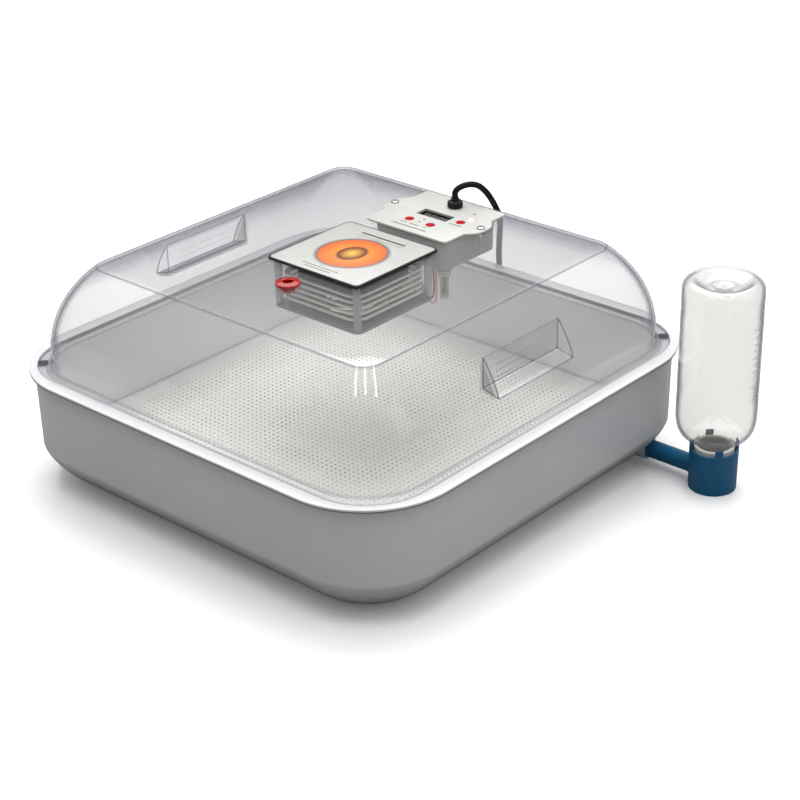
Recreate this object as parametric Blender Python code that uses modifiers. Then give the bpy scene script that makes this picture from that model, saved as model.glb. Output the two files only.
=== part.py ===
"""Tabletop egg incubator: square tub, channelled liner, clear dome with a fan heater and a controller,
and a side cup that holds an inverted water bottle. Metres, +Z up, origin on the floor under the middle.
+X is the side with the water cup, -Y is the user's side, and the mains cord hangs over the +Y side."""

import math

import bmesh
import bpy
from mathutils import Vector

MM = 0.001
GAP = 0.3 * MM

# Tub
RIM_HALF = 260.0 * MM
RIM_INNER_HALF = 246.0 * MM
RIM_HEIGHT = 127.8 * MM
RIM_CORNER = 93.6 * MM
RIM_INNER_CORNER = 66.5 * MM
LIP_THICK = 3.4 * MM
WALL_TOP_HALF = 254.5 * MM
WALL_LOW_HALF = 252.6 * MM
WALL_CORNER = 87.0 * MM
CURVE_TOP = 44.0 * MM
FOOT_HALF = 208.0 * MM
FOOT_CORNER = 46.0 * MM
CURVE_POWER = 1.35
SHELL = 2.6 * MM
LEDGE_HALF = 241.0 * MM
LEDGE_TOP = 121.9 * MM

# Liner, a formed sheet that hangs in the tub
SHEET = 2.0 * MM
LINER_TOP_HALF = 240.0 * MM
LINER_LOW_HALF = 237.5 * MM
LINER_CORNER = 62.0 * MM
SHELF_TOP = 32.0 * MM
CHANNEL_BOTTOM = 5.2 * MM
CHANNEL_CORNER = 24.0 * MM
CHANNELS = ((203.0 * MM, 185.0 * MM), (144.0 * MM, 126.0 * MM), (84.0 * MM, 66.0 * MM))
FLOOR_HALF = 236.0 * MM
FLOOR_THICK = 2.2 * MM

# Dome
FLANGE_THICK = 2.8 * MM
DOME_BASE_HALF = 235.0 * MM
DOME_BASE_CORNER = 64.0 * MM
DOME_SPRING = 134.7 * MM
DOME_TOP_HALF = 184.0 * MM
DOME_TOP_CORNER = 18.0 * MM
DOME_TOP = 229.6 * MM
DOME_SHELL = 2.4 * MM
POCKET_DEPTH_HALF = 212.0 * MM
POCKET_HALF_LENGTH = 56.5 * MM
POCKET_FLOOR_INNER = 171.4 * MM
POCKET_FLOOR_OUTER = 166.8 * MM
SLOT_DIAGONAL = 222.5 * MM

# Fan heater
PLATE_HALF = 60.8 * MM
PLATE_THICK = 2.2 * MM
FAN_OPENING_HALF = 46.0 * MM
POST_CENTRE = 52.5 * MM
POST_HALF = 3.5 * MM
TRAY_HALF = 57.5 * MM
TRAY_BOTTOM = 178.7 * MM
TRAY_THICK = 3.0 * MM
LOUVRE_HALF = 53.0 * MM
LOUVRE_WIDTH = 4.0 * MM
LOUVRE_THICK = 2.7 * MM
LOUVRE_TOP = 214.6 * MM
LOUVRE_PITCH = 6.2 * MM
LOUVRE_COUNT = 5

# Controller
FACE_HALF = 53.8 * MM
FACE_FRONT = 77.5 * MM
FACE_BACK = 176.5 * MM
EAR_REACH = 64.8 * MM
SCREW_Y = 129.2 * MM
SCREW_X = 58.2 * MM
BOX_LEFT = -46.0 * MM
BOX_RIGHT = 50.0 * MM
BOX_FRONT = 81.0 * MM
BOX_BACK = 166.0 * MM
BOX_BOTTOM = 196.5 * MM
BUTTONS = (
    ("button_minus", -16.0 * MM, 103.8 * MM),
    ("button_plus", 12.2 * MM, 103.8 * MM),
    ("button_power", 32.0 * MM, 128.3 * MM),
)
BUTTON_RADIUS = 4.8 * MM
WINDOW = (-21.0 * MM, 18.8 * MM, 119.7 * MM, 135.8 * MM)
INDICATOR = (35.8 * MM, 140.5 * MM)
GLAND = (0.0, 158.0 * MM)
SENSOR = (42.0 * MM, 90.0 * MM)

# Vent plug
VENT = (0.0, -92.5 * MM)
VENT_RADIUS = 7.4 * MM

# Water cup and bottle
CUP = (313.4 * MM, 186.1 * MM)
CUP_RADIUS = 24.8 * MM
CUP_HEIGHT = 44.0 * MM
CUP_BORE = 22.3 * MM
CUP_SEAT = 24.0 * MM
LUG_TOP = 51.5 * MM
PIPE_HEIGHT = 16.5 * MM
PIPE_RADIUS = 9.3 * MM
PIPE_END = 197.0 * MM
BOSS_END = 236.0 * MM
BOTTLE_RADIUS = 40.4 * MM
BOTTLE_TOP = 227.0 * MM
BOTTLE_WALL = 1.2 * MM
NECK_RADIUS = 16.6 * MM

# Mains cord
CORD_RADIUS = 3.25 * MM
CORD_EXIT_Z = 243.3 * MM
CORD_ROUTE_MM = (
    (0, 158, 243.3), (0, 158, 248.6), (2.8, 162.2, 253.4), (8.6, 169.5, 255.8), (14, 178, 253.5),
    (17, 187.5, 244.5), (17.4, 197.5, 231.8), (15.8, 208.5, 216.5), (10.3, 220, 199.7), (0.2, 232, 177.2),
    (-12, 246.5, 152.6), (-24, 261.5, 134.2), (-31, 271, 116), (-37, 276, 90), (-42, 279.5, 58),
    (-47, 283, 28), (-53, 290, 9.5), (-59, 299, 3.8), (-64, 309, 3.4), (-66, 319, 3.4),
)
COIL_CENTRE = (-117.0 * MM, 332.0 * MM)
COIL_INNER = 26.0 * MM
COIL_OUTER = 46.0 * MM
COIL_BOTTOM = 1.4 * MM
COIL_HEIGHT = 13.4 * MM
PLUG_TAIL = (-142.6 * MM, 374.8 * MM)
PLUG_Z = 12.2 * MM

CORNER_STEPS = 6
DOME_STEPS = 8


# ---------------------------------------------------------------- helpers


def clear_scene():
    for obj in list(bpy.data.objects):
        bpy.data.objects.remove(obj, do_unlink=True)


def new_collection(name):
    collection = bpy.data.collections.new(name)
    bpy.context.scene.collection.children.link(collection)
    return collection


def material(name, colour, roughness, metallic=0.0, alpha=1.0):
    """A Principled material; one call for each finish, so that every object names its own."""
    mat = bpy.data.materials.new(name)
    mat.use_nodes = True
    shader = mat.node_tree.nodes["Principled BSDF"]
    shader.inputs["Base Color"].default_value = (*colour, 1.0)
    shader.inputs["Roughness"].default_value = roughness
    shader.inputs["Metallic"].default_value = metallic
    shader.inputs["Alpha"].default_value = alpha
    return mat


def add_mesh(name, mesh, mat, collection=None):
    obj = bpy.data.objects.new(name, mesh)
    if mat is not None:
        mesh.materials.append(mat)
    (collection or PARTS).objects.link(obj)
    return obj


def from_bmesh(name, bm, mat, smooth_angle=35.0, collection=None):
    bmesh.ops.recalc_face_normals(bm, faces=bm.faces)
    mesh = bpy.data.meshes.new(name)
    bm.to_mesh(mesh)
    bm.free()
    mesh.shade_smooth()
    mesh.set_sharp_from_angle(angle=math.radians(smooth_angle))
    return add_mesh(name, mesh, mat, collection)


def set_origin(obj, point):
    """Move the object's origin to a point on its joint's axis and leave its shape where it is."""
    shift = Vector(point) - obj.location
    for vertex in obj.data.vertices:
        vertex.co -= shift
    obj.location = Vector(point)


def ring(half, radius, z, centre=(0.0, 0.0), half_y=None, steps=CORNER_STEPS):
    """Points round a rectangle with round corners, counter-clockwise, at height z."""
    half_y = half if half_y is None else half_y
    radius = max(radius, 0.2 * MM)
    points = []
    for index, (side_x, side_y) in enumerate(((1, -1), (1, 1), (-1, 1), (-1, -1))):
        middle_x = centre[0] + side_x * (half - radius)
        middle_y = centre[1] + side_y * (half_y - radius)
        for step in range(steps + 1):
            angle = math.radians(-90 + 90 * index + 90 * step / steps)
            points.append((middle_x + radius * math.cos(angle), middle_y + radius * math.sin(angle), z))
    return points


def loft(name, rings, mat, closed=False, smooth_angle=35.0, collection=None):
    """Skin rings that have the same number of points; cap both ends, or join the last to the first."""
    bm = bmesh.new()
    loops = [[bm.verts.new(point) for point in points] for points in rings]
    pairs = list(zip(loops, loops[1:]))
    if closed:
        pairs.append((loops[-1], loops[0]))
    else:
        bm.faces.new(loops[0])
        bm.faces.new(loops[-1])
    for low, high in pairs:
        for i in range(len(low)):
            j = (i + 1) % len(low)
            bm.faces.new((low[i], low[j], high[j], high[i]))
    return from_bmesh(name, bm, mat, smooth_angle, collection)


def block(name, size, centre, mat, bevel=0.0, collection=None):
    bm = bmesh.new()
    bmesh.ops.create_cube(bm, size=1.0)
    bmesh.ops.scale(bm, vec=size, verts=bm.verts)
    bmesh.ops.translate(bm, vec=centre, verts=bm.verts)
    obj = from_bmesh(name, bm, mat, collection=collection)
    if bevel:
        edge = obj.modifiers.new("edges", "BEVEL")
        edge.width = bevel
        edge.segments = 2
    return obj


def cylinder(name, radius, length, centre, mat, axis="Z", steps=24, top_radius=None, collection=None):
    bm = bmesh.new()
    bmesh.ops.create_cone(
        bm, cap_ends=True, segments=steps, radius1=radius,
        radius2=radius if top_radius is None else top_radius, depth=length,
    )
    if axis == "X":
        turn = Vector((0, 0, 1)).rotation_difference(Vector((1, 0, 0))).to_matrix()
        bmesh.ops.rotate(bm, matrix=turn, verts=bm.verts)
    bmesh.ops.translate(bm, vec=centre, verts=bm.verts)
    return from_bmesh(name, bm, mat, collection=collection)


def turned(name, profile, centre, mat, steps=32, loop=False, collection=None):
    """Turn a profile of (radius, z) about the vertical through centre; it runs down its outer side."""
    mesh = bpy.data.meshes.new(name)
    points = [(radius, 0.0, z) for radius, z in profile]
    edges = [(i, i + 1) for i in range(len(points) - 1)]
    if loop:
        edges.append((len(points) - 1, 0))
    mesh.from_pydata(points, edges, [])
    obj = add_mesh(name, mesh, mat, collection)
    obj.location = (centre[0], centre[1], 0.0)
    screw = obj.modifiers.new("turn", "SCREW")
    screw.axis = "Z"
    screw.angle = math.tau
    screw.steps = steps
    screw.render_steps = steps
    screw.use_merge_vertices = True
    screw.merge_threshold = 0.00001
    screw.use_smooth_shade = True
    return obj


def prism(name, outline, low, high, mat, axis="Z", collection=None):
    """Extrude a flat outline from low to high along Z or along Y."""
    bm = bmesh.new()
    place = (lambda a, b, c: (a, b, c)) if axis == "Z" else (lambda a, b, c: (a, c, b))
    bottom = [bm.verts.new(place(a, b, low)) for a, b in outline]
    top = [bm.verts.new(place(a, b, high)) for a, b in outline]
    bm.faces.new(bottom)
    bm.faces.new(top)
    for i in range(len(outline)):
        j = (i + 1) % len(outline)
        bm.faces.new((bottom[i], bottom[j], top[j], top[i]))
    return from_bmesh(name, bm, mat, collection=collection)


def tube(name, points, radius, mat, resolution=2):
    curve = bpy.data.curves.new(name, "CURVE")
    curve.dimensions = "3D"
    curve.bevel_depth = radius
    curve.bevel_resolution = resolution
    curve.use_fill_caps = True
    spline = curve.splines.new("POLY")
    spline.points.add(len(points) - 1)
    for point, place in zip(spline.points, points):
        point.co = (*place, 1.0)
    obj = bpy.data.objects.new(name, curve)
    curve.materials.append(mat)
    PARTS.objects.link(obj)
    return obj


def boolean(obj, other, operation):
    modifier = obj.modifiers.new(operation.lower(), "BOOLEAN")
    modifier.operation = operation
    modifier.solver = "EXACT"
    modifier.object = other
    other.hide_render = True
    other.display_type = "WIRE"


def cut(obj, *cutters):
    for cutter in cutters:
        boolean(obj, cutter, "DIFFERENCE")


def join(obj, *others):
    for other in others:
        boolean(obj, other, "UNION")


def smooth_route(points, spacing):
    """Points at even spacing along a Catmull-Rom curve through the route's own points."""
    ends = [points[0] * 2 - points[1], *points, points[-1] * 2 - points[-2]]
    dense = []
    for a, b, c, d in zip(ends, ends[1:], ends[2:], ends[3:]):
        for step in range(24):
            t = step / 24
            dense.append(0.5 * (2 * b + (c - a) * t + (2 * a - 5 * b + 4 * c - d) * t**2
                                + (3 * b - a - 3 * c + d) * t**3))
    dense.append(points[-1])
    total = sum((q - p).length for p, q in zip(dense, dense[1:]))
    count = max(2, round(total / spacing))
    route, walked, target = [dense[0]], 0.0, total / count
    for p, q in zip(dense, dense[1:]):
        length = (q - p).length
        while walked + length >= target - 1e-9 and len(route) < count:
            route.append(p.lerp(q, (target - walked) / length))
            target += total / count
        walked += length
    route.append(dense[-1])
    return route


# ---------------------------------------------------------------- base


def tub_lower_ring(angle, inset):
    """A ring of the curve that joins the wall to the foot; the angle runs from 0 at the wall to 90."""
    along = math.cos(math.radians(angle)) ** (2 / CURVE_POWER)
    down = math.sin(math.radians(angle)) ** (2 / CURVE_POWER)
    half = FOOT_HALF + (WALL_LOW_HALF - FOOT_HALF) * along - inset
    radius = FOOT_CORNER + (WALL_CORNER - 2 * MM - FOOT_CORNER) * along - inset
    z = inset + (CURVE_TOP - inset) * (1 - down)
    return ring(half, radius, z)


def base_tub():
    angles = [90 * i / 6 for i in range(7)]
    lip_low = RIM_HEIGHT - LIP_THICK
    rings = [tub_lower_ring(a, 0.0) for a in reversed(angles)]
    rings += [
        ring(WALL_TOP_HALF, WALL_CORNER, lip_low),
        ring(RIM_HALF - 1.0 * MM, RIM_CORNER - 1.0 * MM, lip_low),
        ring(RIM_HALF, RIM_CORNER, lip_low + 1.0 * MM),
        ring(RIM_HALF, RIM_CORNER, RIM_HEIGHT - 1.0 * MM),
        ring(RIM_HALF - 1.0 * MM, RIM_CORNER - 1.0 * MM, RIM_HEIGHT),
        ring(RIM_INNER_HALF + 0.4 * MM, RIM_INNER_CORNER, RIM_HEIGHT),
        ring(RIM_INNER_HALF, RIM_INNER_CORNER, RIM_HEIGHT - 0.4 * MM),
        ring(RIM_INNER_HALF, RIM_INNER_CORNER, LEDGE_TOP),
        ring(LEDGE_HALF, LINER_CORNER + 1.0 * MM, LEDGE_TOP),
        ring(LEDGE_HALF, LINER_CORNER + 1.0 * MM, LEDGE_TOP - 2.4 * MM),
        ring(WALL_TOP_HALF - SHELL, WALL_CORNER - SHELL, LEDGE_TOP - 6.0 * MM),
    ]
    rings += [tub_lower_ring(a, SHELL) for a in angles]
    tub = loft("base_tub", rings, material("tub_white", (0.86, 0.87, 0.9), 0.18))
    boss = cylinder(
        "boss_form", 12.8 * MM, 22.0 * MM, (BOSS_END - 11.0 * MM, CUP[1], PIPE_HEIGHT), None,
        axis="X", steps=28, top_radius=12.0 * MM, collection=CUTTERS,
    )
    bore = cylinder(
        "boss_bore", 10.9 * MM, 80.0 * MM, (BOSS_END - 20.0 * MM, CUP[1], PIPE_HEIGHT), None,
        axis="X", steps=28, collection=CUTTERS,
    )
    join(tub, boss)
    cut(tub, bore)


def pipe_seal():
    outer = cylinder(
        "pipe_seal", 10.6 * MM, 9.0 * MM, (BOSS_END - 3.5 * MM, CUP[1], PIPE_HEIGHT),
        material("seal_black", (0.02, 0.02, 0.02), 0.7), axis="X", steps=28,
    )
    bore = cylinder(
        "seal_bore", PIPE_RADIUS + GAP, 20.0 * MM, (BOSS_END, CUP[1], PIPE_HEIGHT), None,
        axis="X", steps=28, collection=CUTTERS,
    )
    cut(outer, bore)


def liner_rings(offset):
    """The liner's sheet on one side, from the middle outwards; offset is 0 on top, a sheet below."""
    rings = []
    top, bottom = SHELF_TOP - offset, CHANNEL_BOTTOM - offset
    for outer, inner in reversed(CHANNELS):
        rings += [
            ring(inner - offset, CHANNEL_CORNER - offset, top),
            ring(inner + 1.0 * MM - offset, CHANNEL_CORNER + 1.0 * MM - offset, bottom),
            ring(outer - 1.0 * MM + offset, CHANNEL_CORNER + 17.0 * MM + offset, bottom),
            ring(outer + offset, CHANNEL_CORNER + 18.0 * MM + offset, top),
        ]
    rings += [
        ring(LINER_LOW_HALF - 4.0 * MM + offset, LINER_CORNER - 6.0 * MM + offset, top),
        ring(LINER_LOW_HALF + offset, LINER_CORNER - 3.0 * MM + offset, top + 4.0 * MM),
    ]
    return rings


def inner_liner():
    flange_low = LEDGE_TOP + GAP
    flange_top = flange_low + SHEET
    under = liner_rings(SHEET)
    over = liner_rings(0.0)
    outer_half = LINER_TOP_HALF
    edge = [
        ring(outer_half, LINER_CORNER, flange_low),
        ring(RIM_INNER_HALF - GAP, RIM_INNER_CORNER - GAP, flange_low),
        ring(RIM_INNER_HALF - GAP, RIM_INNER_CORNER - GAP, flange_top),
        ring(outer_half - SHEET, LINER_CORNER - SHEET, flange_top),
    ]
    liner = loft("inner_liner", under + edge + over[::-1], material("liner_white", (0.8, 0.81, 0.83), 0.3))
    inlet = cylinder(
        "liner_inlet", PIPE_RADIUS + 0.5 * MM, 16.0 * MM, (205.0 * MM, CUP[1], PIPE_HEIGHT), None,
        axis="X", steps=28, collection=CUTTERS,
    )
    cut(liner, inlet)


def mesh_floor():
    low = SHELF_TOP + GAP
    floor = loft(
        "mesh_floor",
        [
            ring(FLOOR_HALF - 3.0 * MM, LINER_CORNER - 6.0 * MM, low),
            ring(FLOOR_HALF - 1.2 * MM, LINER_CORNER - 5.0 * MM, low + 1.8 * MM),
            ring(FLOOR_HALF - 1.2 * MM, LINER_CORNER - 5.0 * MM, low + FLOOR_THICK),
        ],
        material("floor_cream", (0.83, 0.82, 0.75), 0.5),
    )
    set_origin(floor, (0.0, 0.0, low))


# ---------------------------------------------------------------- dome


def dome_half_at(z, inset=0.0):
    rise = (z - DOME_SPRING) / (DOME_TOP - DOME_SPRING)
    up = min(1.0, rise ** (1 / 0.88))
    along = math.sqrt(1 - up * up) ** 1.9
    return DOME_TOP_HALF + (DOME_BASE_HALF - DOME_TOP_HALF) * along - inset


def dome_rings(inset):
    rings = []
    top = DOME_TOP - inset
    for step in range(DOME_STEPS):
        angle = math.pi / 2 * step / DOME_STEPS
        along = math.cos(angle) ** 1.9
        z = DOME_SPRING + (top - DOME_SPRING) * math.sin(angle) ** 0.88
        half = DOME_TOP_HALF + (DOME_BASE_HALF - DOME_TOP_HALF) * along - inset * (0.7 + 0.3 * along)
        radius = DOME_TOP_CORNER + (DOME_BASE_CORNER - DOME_TOP_CORNER) * along - inset
        rings.append(ring(half, radius, z))
    top_half = DOME_TOP_HALF - 0.7 * inset
    rings.append(ring(top_half + 0.5 * MM, DOME_TOP_CORNER - inset, top - 0.7 * MM))
    rings.append(ring(top_half - 1.2 * MM, DOME_TOP_CORNER - inset, top))
    return rings


def pocket_form(side):
    """The solid that carries a hand pocket's walls; its outer side runs inside the dome's sheet."""
    back = POCKET_DEPTH_HALF - 2.2 * MM
    outline = [(back, POCKET_FLOOR_INNER - 2.4 * MM)]
    low, high = POCKET_FLOOR_OUTER - 2.2 * MM, 202.6 * MM
    for step in range(8):
        z = low + (high - low) * step / 7
        outline.append((dome_half_at(z) - 1.1 * MM, z))
    length = POCKET_HALF_LENGTH + 2.2 * MM
    outline = [(side * x, z) for x, z in outline]
    return prism(f"pocket_form_{side}", outline, -length, length, None, "Y", CUTTERS)


def pocket_space(side):
    outline = [
        (POCKET_DEPTH_HALF, POCKET_FLOOR_INNER),
        (245.0 * MM, POCKET_FLOOR_INNER - 8.6 * MM),
        (245.0 * MM, 218.0 * MM),
        (POCKET_DEPTH_HALF, 218.0 * MM),
    ]
    outline = [(side * x, z) for x, z in outline]
    length = POCKET_HALF_LENGTH
    return prism(f"pocket_space_{side}", outline, -length, length, None, "Y", CUTTERS)


def pocket_ribs(side):
    ribs = []
    for index, z in enumerate((176.4 * MM, 183.2 * MM, 190.0 * MM)):
        size = (2.6 * MM, 76.0 * MM, 2.0 * MM)
        centre = (side * POCKET_DEPTH_HALF, 0.0, z)
        ribs.append(block(f"grip_rib_{side}_{index}", size, centre, None, collection=CUTTERS))
    return ribs


def diagonal_block(name, length, width, height, side, z, mat, bevel=0.0, collection=None):
    obj = block(name, (length, width, height), (0.0, 0.0, 0.0), mat, bevel, collection)
    obj.rotation_euler = (0.0, 0.0, math.radians(45))
    obj.location = (side * SLOT_DIAGONAL, side * SLOT_DIAGONAL, z)
    return obj


def dome_lid():
    flange_low = LEDGE_TOP + SHEET + 2 * GAP
    flange_top = flange_low + FLANGE_THICK
    inner = dome_rings(DOME_SHELL)
    flange_half = RIM_INNER_HALF - 0.5 * MM
    flange_corner = RIM_INNER_CORNER - 0.5 * MM
    flange = [
        ring(DOME_BASE_HALF - DOME_SHELL, DOME_BASE_CORNER - DOME_SHELL, flange_low),
        ring(flange_half, flange_corner, flange_low),
        ring(flange_half, flange_corner, flange_top - 0.4 * MM),
        ring(flange_half - 0.4 * MM, flange_corner - 0.4 * MM, flange_top),
        ring(DOME_BASE_HALF + 2.0 * MM, DOME_BASE_CORNER + 1.0 * MM, flange_top),
        ring(DOME_BASE_HALF + 0.5 * MM, DOME_BASE_CORNER + 0.3 * MM, flange_top + 1.6 * MM),
    ]
    dome = loft(
        "dome_lid", inner[::-1] + flange + dome_rings(0.0),
        material("dome_clear", (0.93, 0.94, 0.95), 0.04, alpha=0.25), smooth_angle=30.0,
    )
    for side in (1, -1):
        join(dome, pocket_form(side))
        cut(dome, pocket_space(side))
        join(dome, *pocket_ribs(side))
        cut(dome, diagonal_block(
            f"slot_space_{side}", 10.4 * MM, 7.4 * MM, 12.0 * MM, side, flange_low, None,
            collection=CUTTERS,
        ))
    middle_y = (BOX_FRONT + BOX_BACK) / 2
    middle_x = (BOX_LEFT + BOX_RIGHT) / 2
    box_hole = [
        ring((BOX_RIGHT - BOX_LEFT) / 2 + GAP, 10.3 * MM, z, (middle_x, middle_y),
             (BOX_BACK - BOX_FRONT) / 2 + GAP, steps=5)
        for z in (DOME_TOP - 8 * MM, DOME_TOP + 8 * MM)
    ]
    fan_hole = [
        ring(FAN_OPENING_HALF, 8.0 * MM, z, steps=5) for z in (DOME_TOP - 8 * MM, DOME_TOP + 8 * MM)
    ]
    cut(dome, loft("box_hole", box_hole, None, collection=CUTTERS))
    cut(dome, loft("fan_hole", fan_hole, None, collection=CUTTERS))
    cut(dome, cylinder("vent_hole", VENT_RADIUS, 16 * MM, (*VENT, DOME_TOP), None, collection=CUTTERS))
    for side in (1, -1):
        centre = (side * SCREW_X, SCREW_Y, DOME_TOP)
        cut(dome, cylinder(f"ear_hole_{side}", 2.3 * MM, 16 * MM, centre, None, collection=CUTTERS))


def slot_grommets():
    mat = material("grommet_black", (0.015, 0.015, 0.03), 0.55)
    z = LEDGE_TOP + SHEET + 2 * GAP + FLANGE_THICK / 2 + 0.3 * MM
    for side, name in ((-1, "slot_grommet_left"), (1, "slot_grommet_right")):
        diagonal_block(name, 9.8 * MM, 6.8 * MM, FLANGE_THICK + 0.4 * MM, side, z, mat, 0.5 * MM)


def vent_plug():
    rest = DOME_TOP + GAP
    profile = [
        (0.0, rest - 3.6 * MM), (4.9 * MM, rest - 3.6 * MM), (5.4 * MM, rest + 2.9 * MM),
        (6.6 * MM, rest + 3.6 * MM), (8.2 * MM, rest + 3.2 * MM), (12.0 * MM, rest + 2.3 * MM),
        (12.5 * MM, rest + 1.3 * MM), (12.2 * MM, rest), (6.95 * MM, rest), (6.8 * MM, rest - 6.5 * MM),
        (5.6 * MM, rest - 8.2 * MM), (0.0, rest - 8.6 * MM),
    ]
    turned("vent_plug", profile, VENT, material("plug_red", (0.62, 0.008, 0.006), 0.28), steps=24)


# ---------------------------------------------------------------- fan heater


def fan_cover():
    low = DOME_TOP + GAP
    rings = [ring(PLATE_HALF - 0.4 * MM, 5.0 * MM, low, steps=5),
             ring(PLATE_HALF, 5.2 * MM, low + 0.5 * MM, steps=5),
             ring(PLATE_HALF, 5.2 * MM, low + PLATE_THICK - 0.4 * MM, steps=5),
             ring(PLATE_HALF - 0.4 * MM, 5.0 * MM, low + PLATE_THICK, steps=5)]
    loft("fan_cover", rings, material("cover_black", (0.02, 0.02, 0.02), 0.4))
    sheet_low = low + PLATE_THICK + 0.1 * MM
    sheet = [ring(PLATE_HALF - 1.7 * MM, 4.4 * MM, z, steps=5) for z in (sheet_low, sheet_low + 0.3 * MM)]
    loft("cover_label", sheet, material("label_white", (0.84, 0.84, 0.8), 0.35))


def housing():
    post_mat = material("post_grey", (0.42, 0.43, 0.43), 0.25)
    post_low = TRAY_BOTTOM + TRAY_THICK + GAP
    post_high = DOME_TOP - DOME_SHELL - GAP
    for number, (sx, sy) in enumerate(((1, -1), (1, 1), (-1, 1), (-1, -1)), 1):
        centre = (sx * POST_CENTRE, sy * POST_CENTRE)
        rings = [ring(POST_HALF, 2.0 * MM, z, centre, steps=4) for z in (post_low, post_high)]
        loft(f"corner_post_{number}", rings, post_mat)
    tray = [
        ring(TRAY_HALF - 0.8 * MM, 7.2 * MM, TRAY_BOTTOM, steps=5),
        ring(TRAY_HALF, 8.0 * MM, TRAY_BOTTOM + 0.8 * MM, steps=5),
        ring(TRAY_HALF, 8.0 * MM, TRAY_BOTTOM + TRAY_THICK, steps=5),
    ]
    tray = loft("bottom_tray", tray, material("tray_grey", (0.36, 0.38, 0.38), 0.3))
    inlet = cylinder("tray_inlet", 34 * MM, 20 * MM, (0.0, 0.0, TRAY_BOTTOM), None, steps=40,
                     collection=CUTTERS)
    cut(tray, inlet)


def louvre_rings():
    mat = material("louvre_cream", (0.72, 0.71, 0.64), 0.45)
    inner = LOUVRE_HALF - LOUVRE_WIDTH
    for number in range(LOUVRE_COUNT):
        z = LOUVRE_TOP - number * LOUVRE_PITCH
        low, high = z - LOUVRE_THICK / 2, z + LOUVRE_THICK / 2
        rings = [ring(LOUVRE_HALF, 16 * MM, low, steps=4), ring(LOUVRE_HALF, 16 * MM, high, steps=4),
                 ring(inner, 9 * MM, high, steps=4), ring(inner, 9 * MM, low, steps=4)]
        loft(f"louvre_ring_{number + 1}", rings, mat, closed=True)


def tray_screws():
    mat = material("screw_steel", (0.75, 0.76, 0.78), 0.28, 1.0)
    top = TRAY_BOTTOM - GAP
    profile = [(0.0, top), (3.0 * MM, top), (3.0 * MM, top - 0.6 * MM), (2.2 * MM, top - 1.7 * MM),
               (0.0, top - 2.1 * MM)]
    for number, (sx, sy) in enumerate(((1, -1), (1, 1), (-1, 1), (-1, -1)), 1):
        centre = (sx * (POST_CENTRE - 2 * MM), sy * (POST_CENTRE - 2 * MM))
        turned(f"tray_screw_{number}", profile, centre, mat, steps=14)


def fan():
    half, low, high = 40.0 * MM, 201.0 * MM, DOME_TOP - DOME_SHELL - 1.0 * MM
    frame = loft(
        "fan_frame", [ring(half, 4 * MM, low, steps=4), ring(half, 4 * MM, high, steps=4)],
        material("fan_black", (0.025, 0.025, 0.027), 0.45),
    )
    bore = cylinder("fan_bore", 38.0 * MM, 60 * MM, (0.0, 0.0, low), None, steps=40, collection=CUTTERS)
    cut(frame, bore)
    hub_low, hub_high = 204.0 * MM, 223.0 * MM
    rotor = cylinder(
        "fan_rotor", 16 * MM, hub_high - hub_low, (0.0, 0.0, (hub_low + hub_high) / 2),
        material("rotor_black", (0.03, 0.03, 0.033), 0.4), steps=28,
    )
    for index in range(7):
        blade = block(f"blade_{index}", (22.5 * MM, 17.0 * MM, 1.6 * MM), (25.5 * MM, 0.0, 0.0), None,
                      collection=CUTTERS)
        blade.rotation_euler = (math.radians(38), 0.0, math.tau * index / 7 + 0.07)
        blade.location = (0.0, 0.0, (hub_low + hub_high) / 2)
        join(rotor, blade)


def heater():
    ring_z = 191.0 * MM
    radius, thick = 35.0 * MM, 3.2 * MM
    profile = []
    for step in range(8):
        angle = -math.tau * step / 8
        profile.append((radius + thick * math.cos(angle), ring_z + thick * math.sin(angle)))
    turned("heater_ring", profile, (0.0, 0.0), material("heater_steel", (0.35, 0.33, 0.32), 0.4, 1.0),
           steps=28, loop=True)
    mica = material("mica_tan", (0.5, 0.42, 0.3), 0.6)
    size = (92.0 * MM, 7.0 * MM, 2.0 * MM)
    z = ring_z - thick - GAP - size[2] / 2
    bar = block("heater_bracket", size, (0.0, 0.0, z), mica)
    cross = block("bracket_cross", (size[1], size[0], size[2]), (0.0, 0.0, z), None, collection=CUTTERS)
    join(bar, cross)


def heater_leads():
    starts = ((30.0, 86.5, 196.2), (34.5, 85.0, 196.2))
    colours = (("lead_red", (0.55, 0.12, 0.1)), ("lead_pink", (0.75, 0.42, 0.38)))
    for number, (start, (name, colour)) in enumerate(zip(starts, colours), 1):
        drop = 170.0 - 3.0 * number
        x, y, z = start
        route = [start, (x + 0.5, y, z - 9), (x + 2, y - 1, drop + 8), (x + 5, y - 6, drop),
                 (x + 6.5, y - 14, drop + 1), (x + 6.0, y - 20, drop + 9), (x + 4.5, y - 23.5, drop + 19),
                 (x + 4, y - 25.5, drop + 27)]
        points = smooth_route([Vector(p) * MM for p in route], 4.0 * MM)
        tube(f"heater_lead_{number}", points, 1.0 * MM, material(name, colour, 0.4), resolution=1)


# ---------------------------------------------------------------- controller


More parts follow.
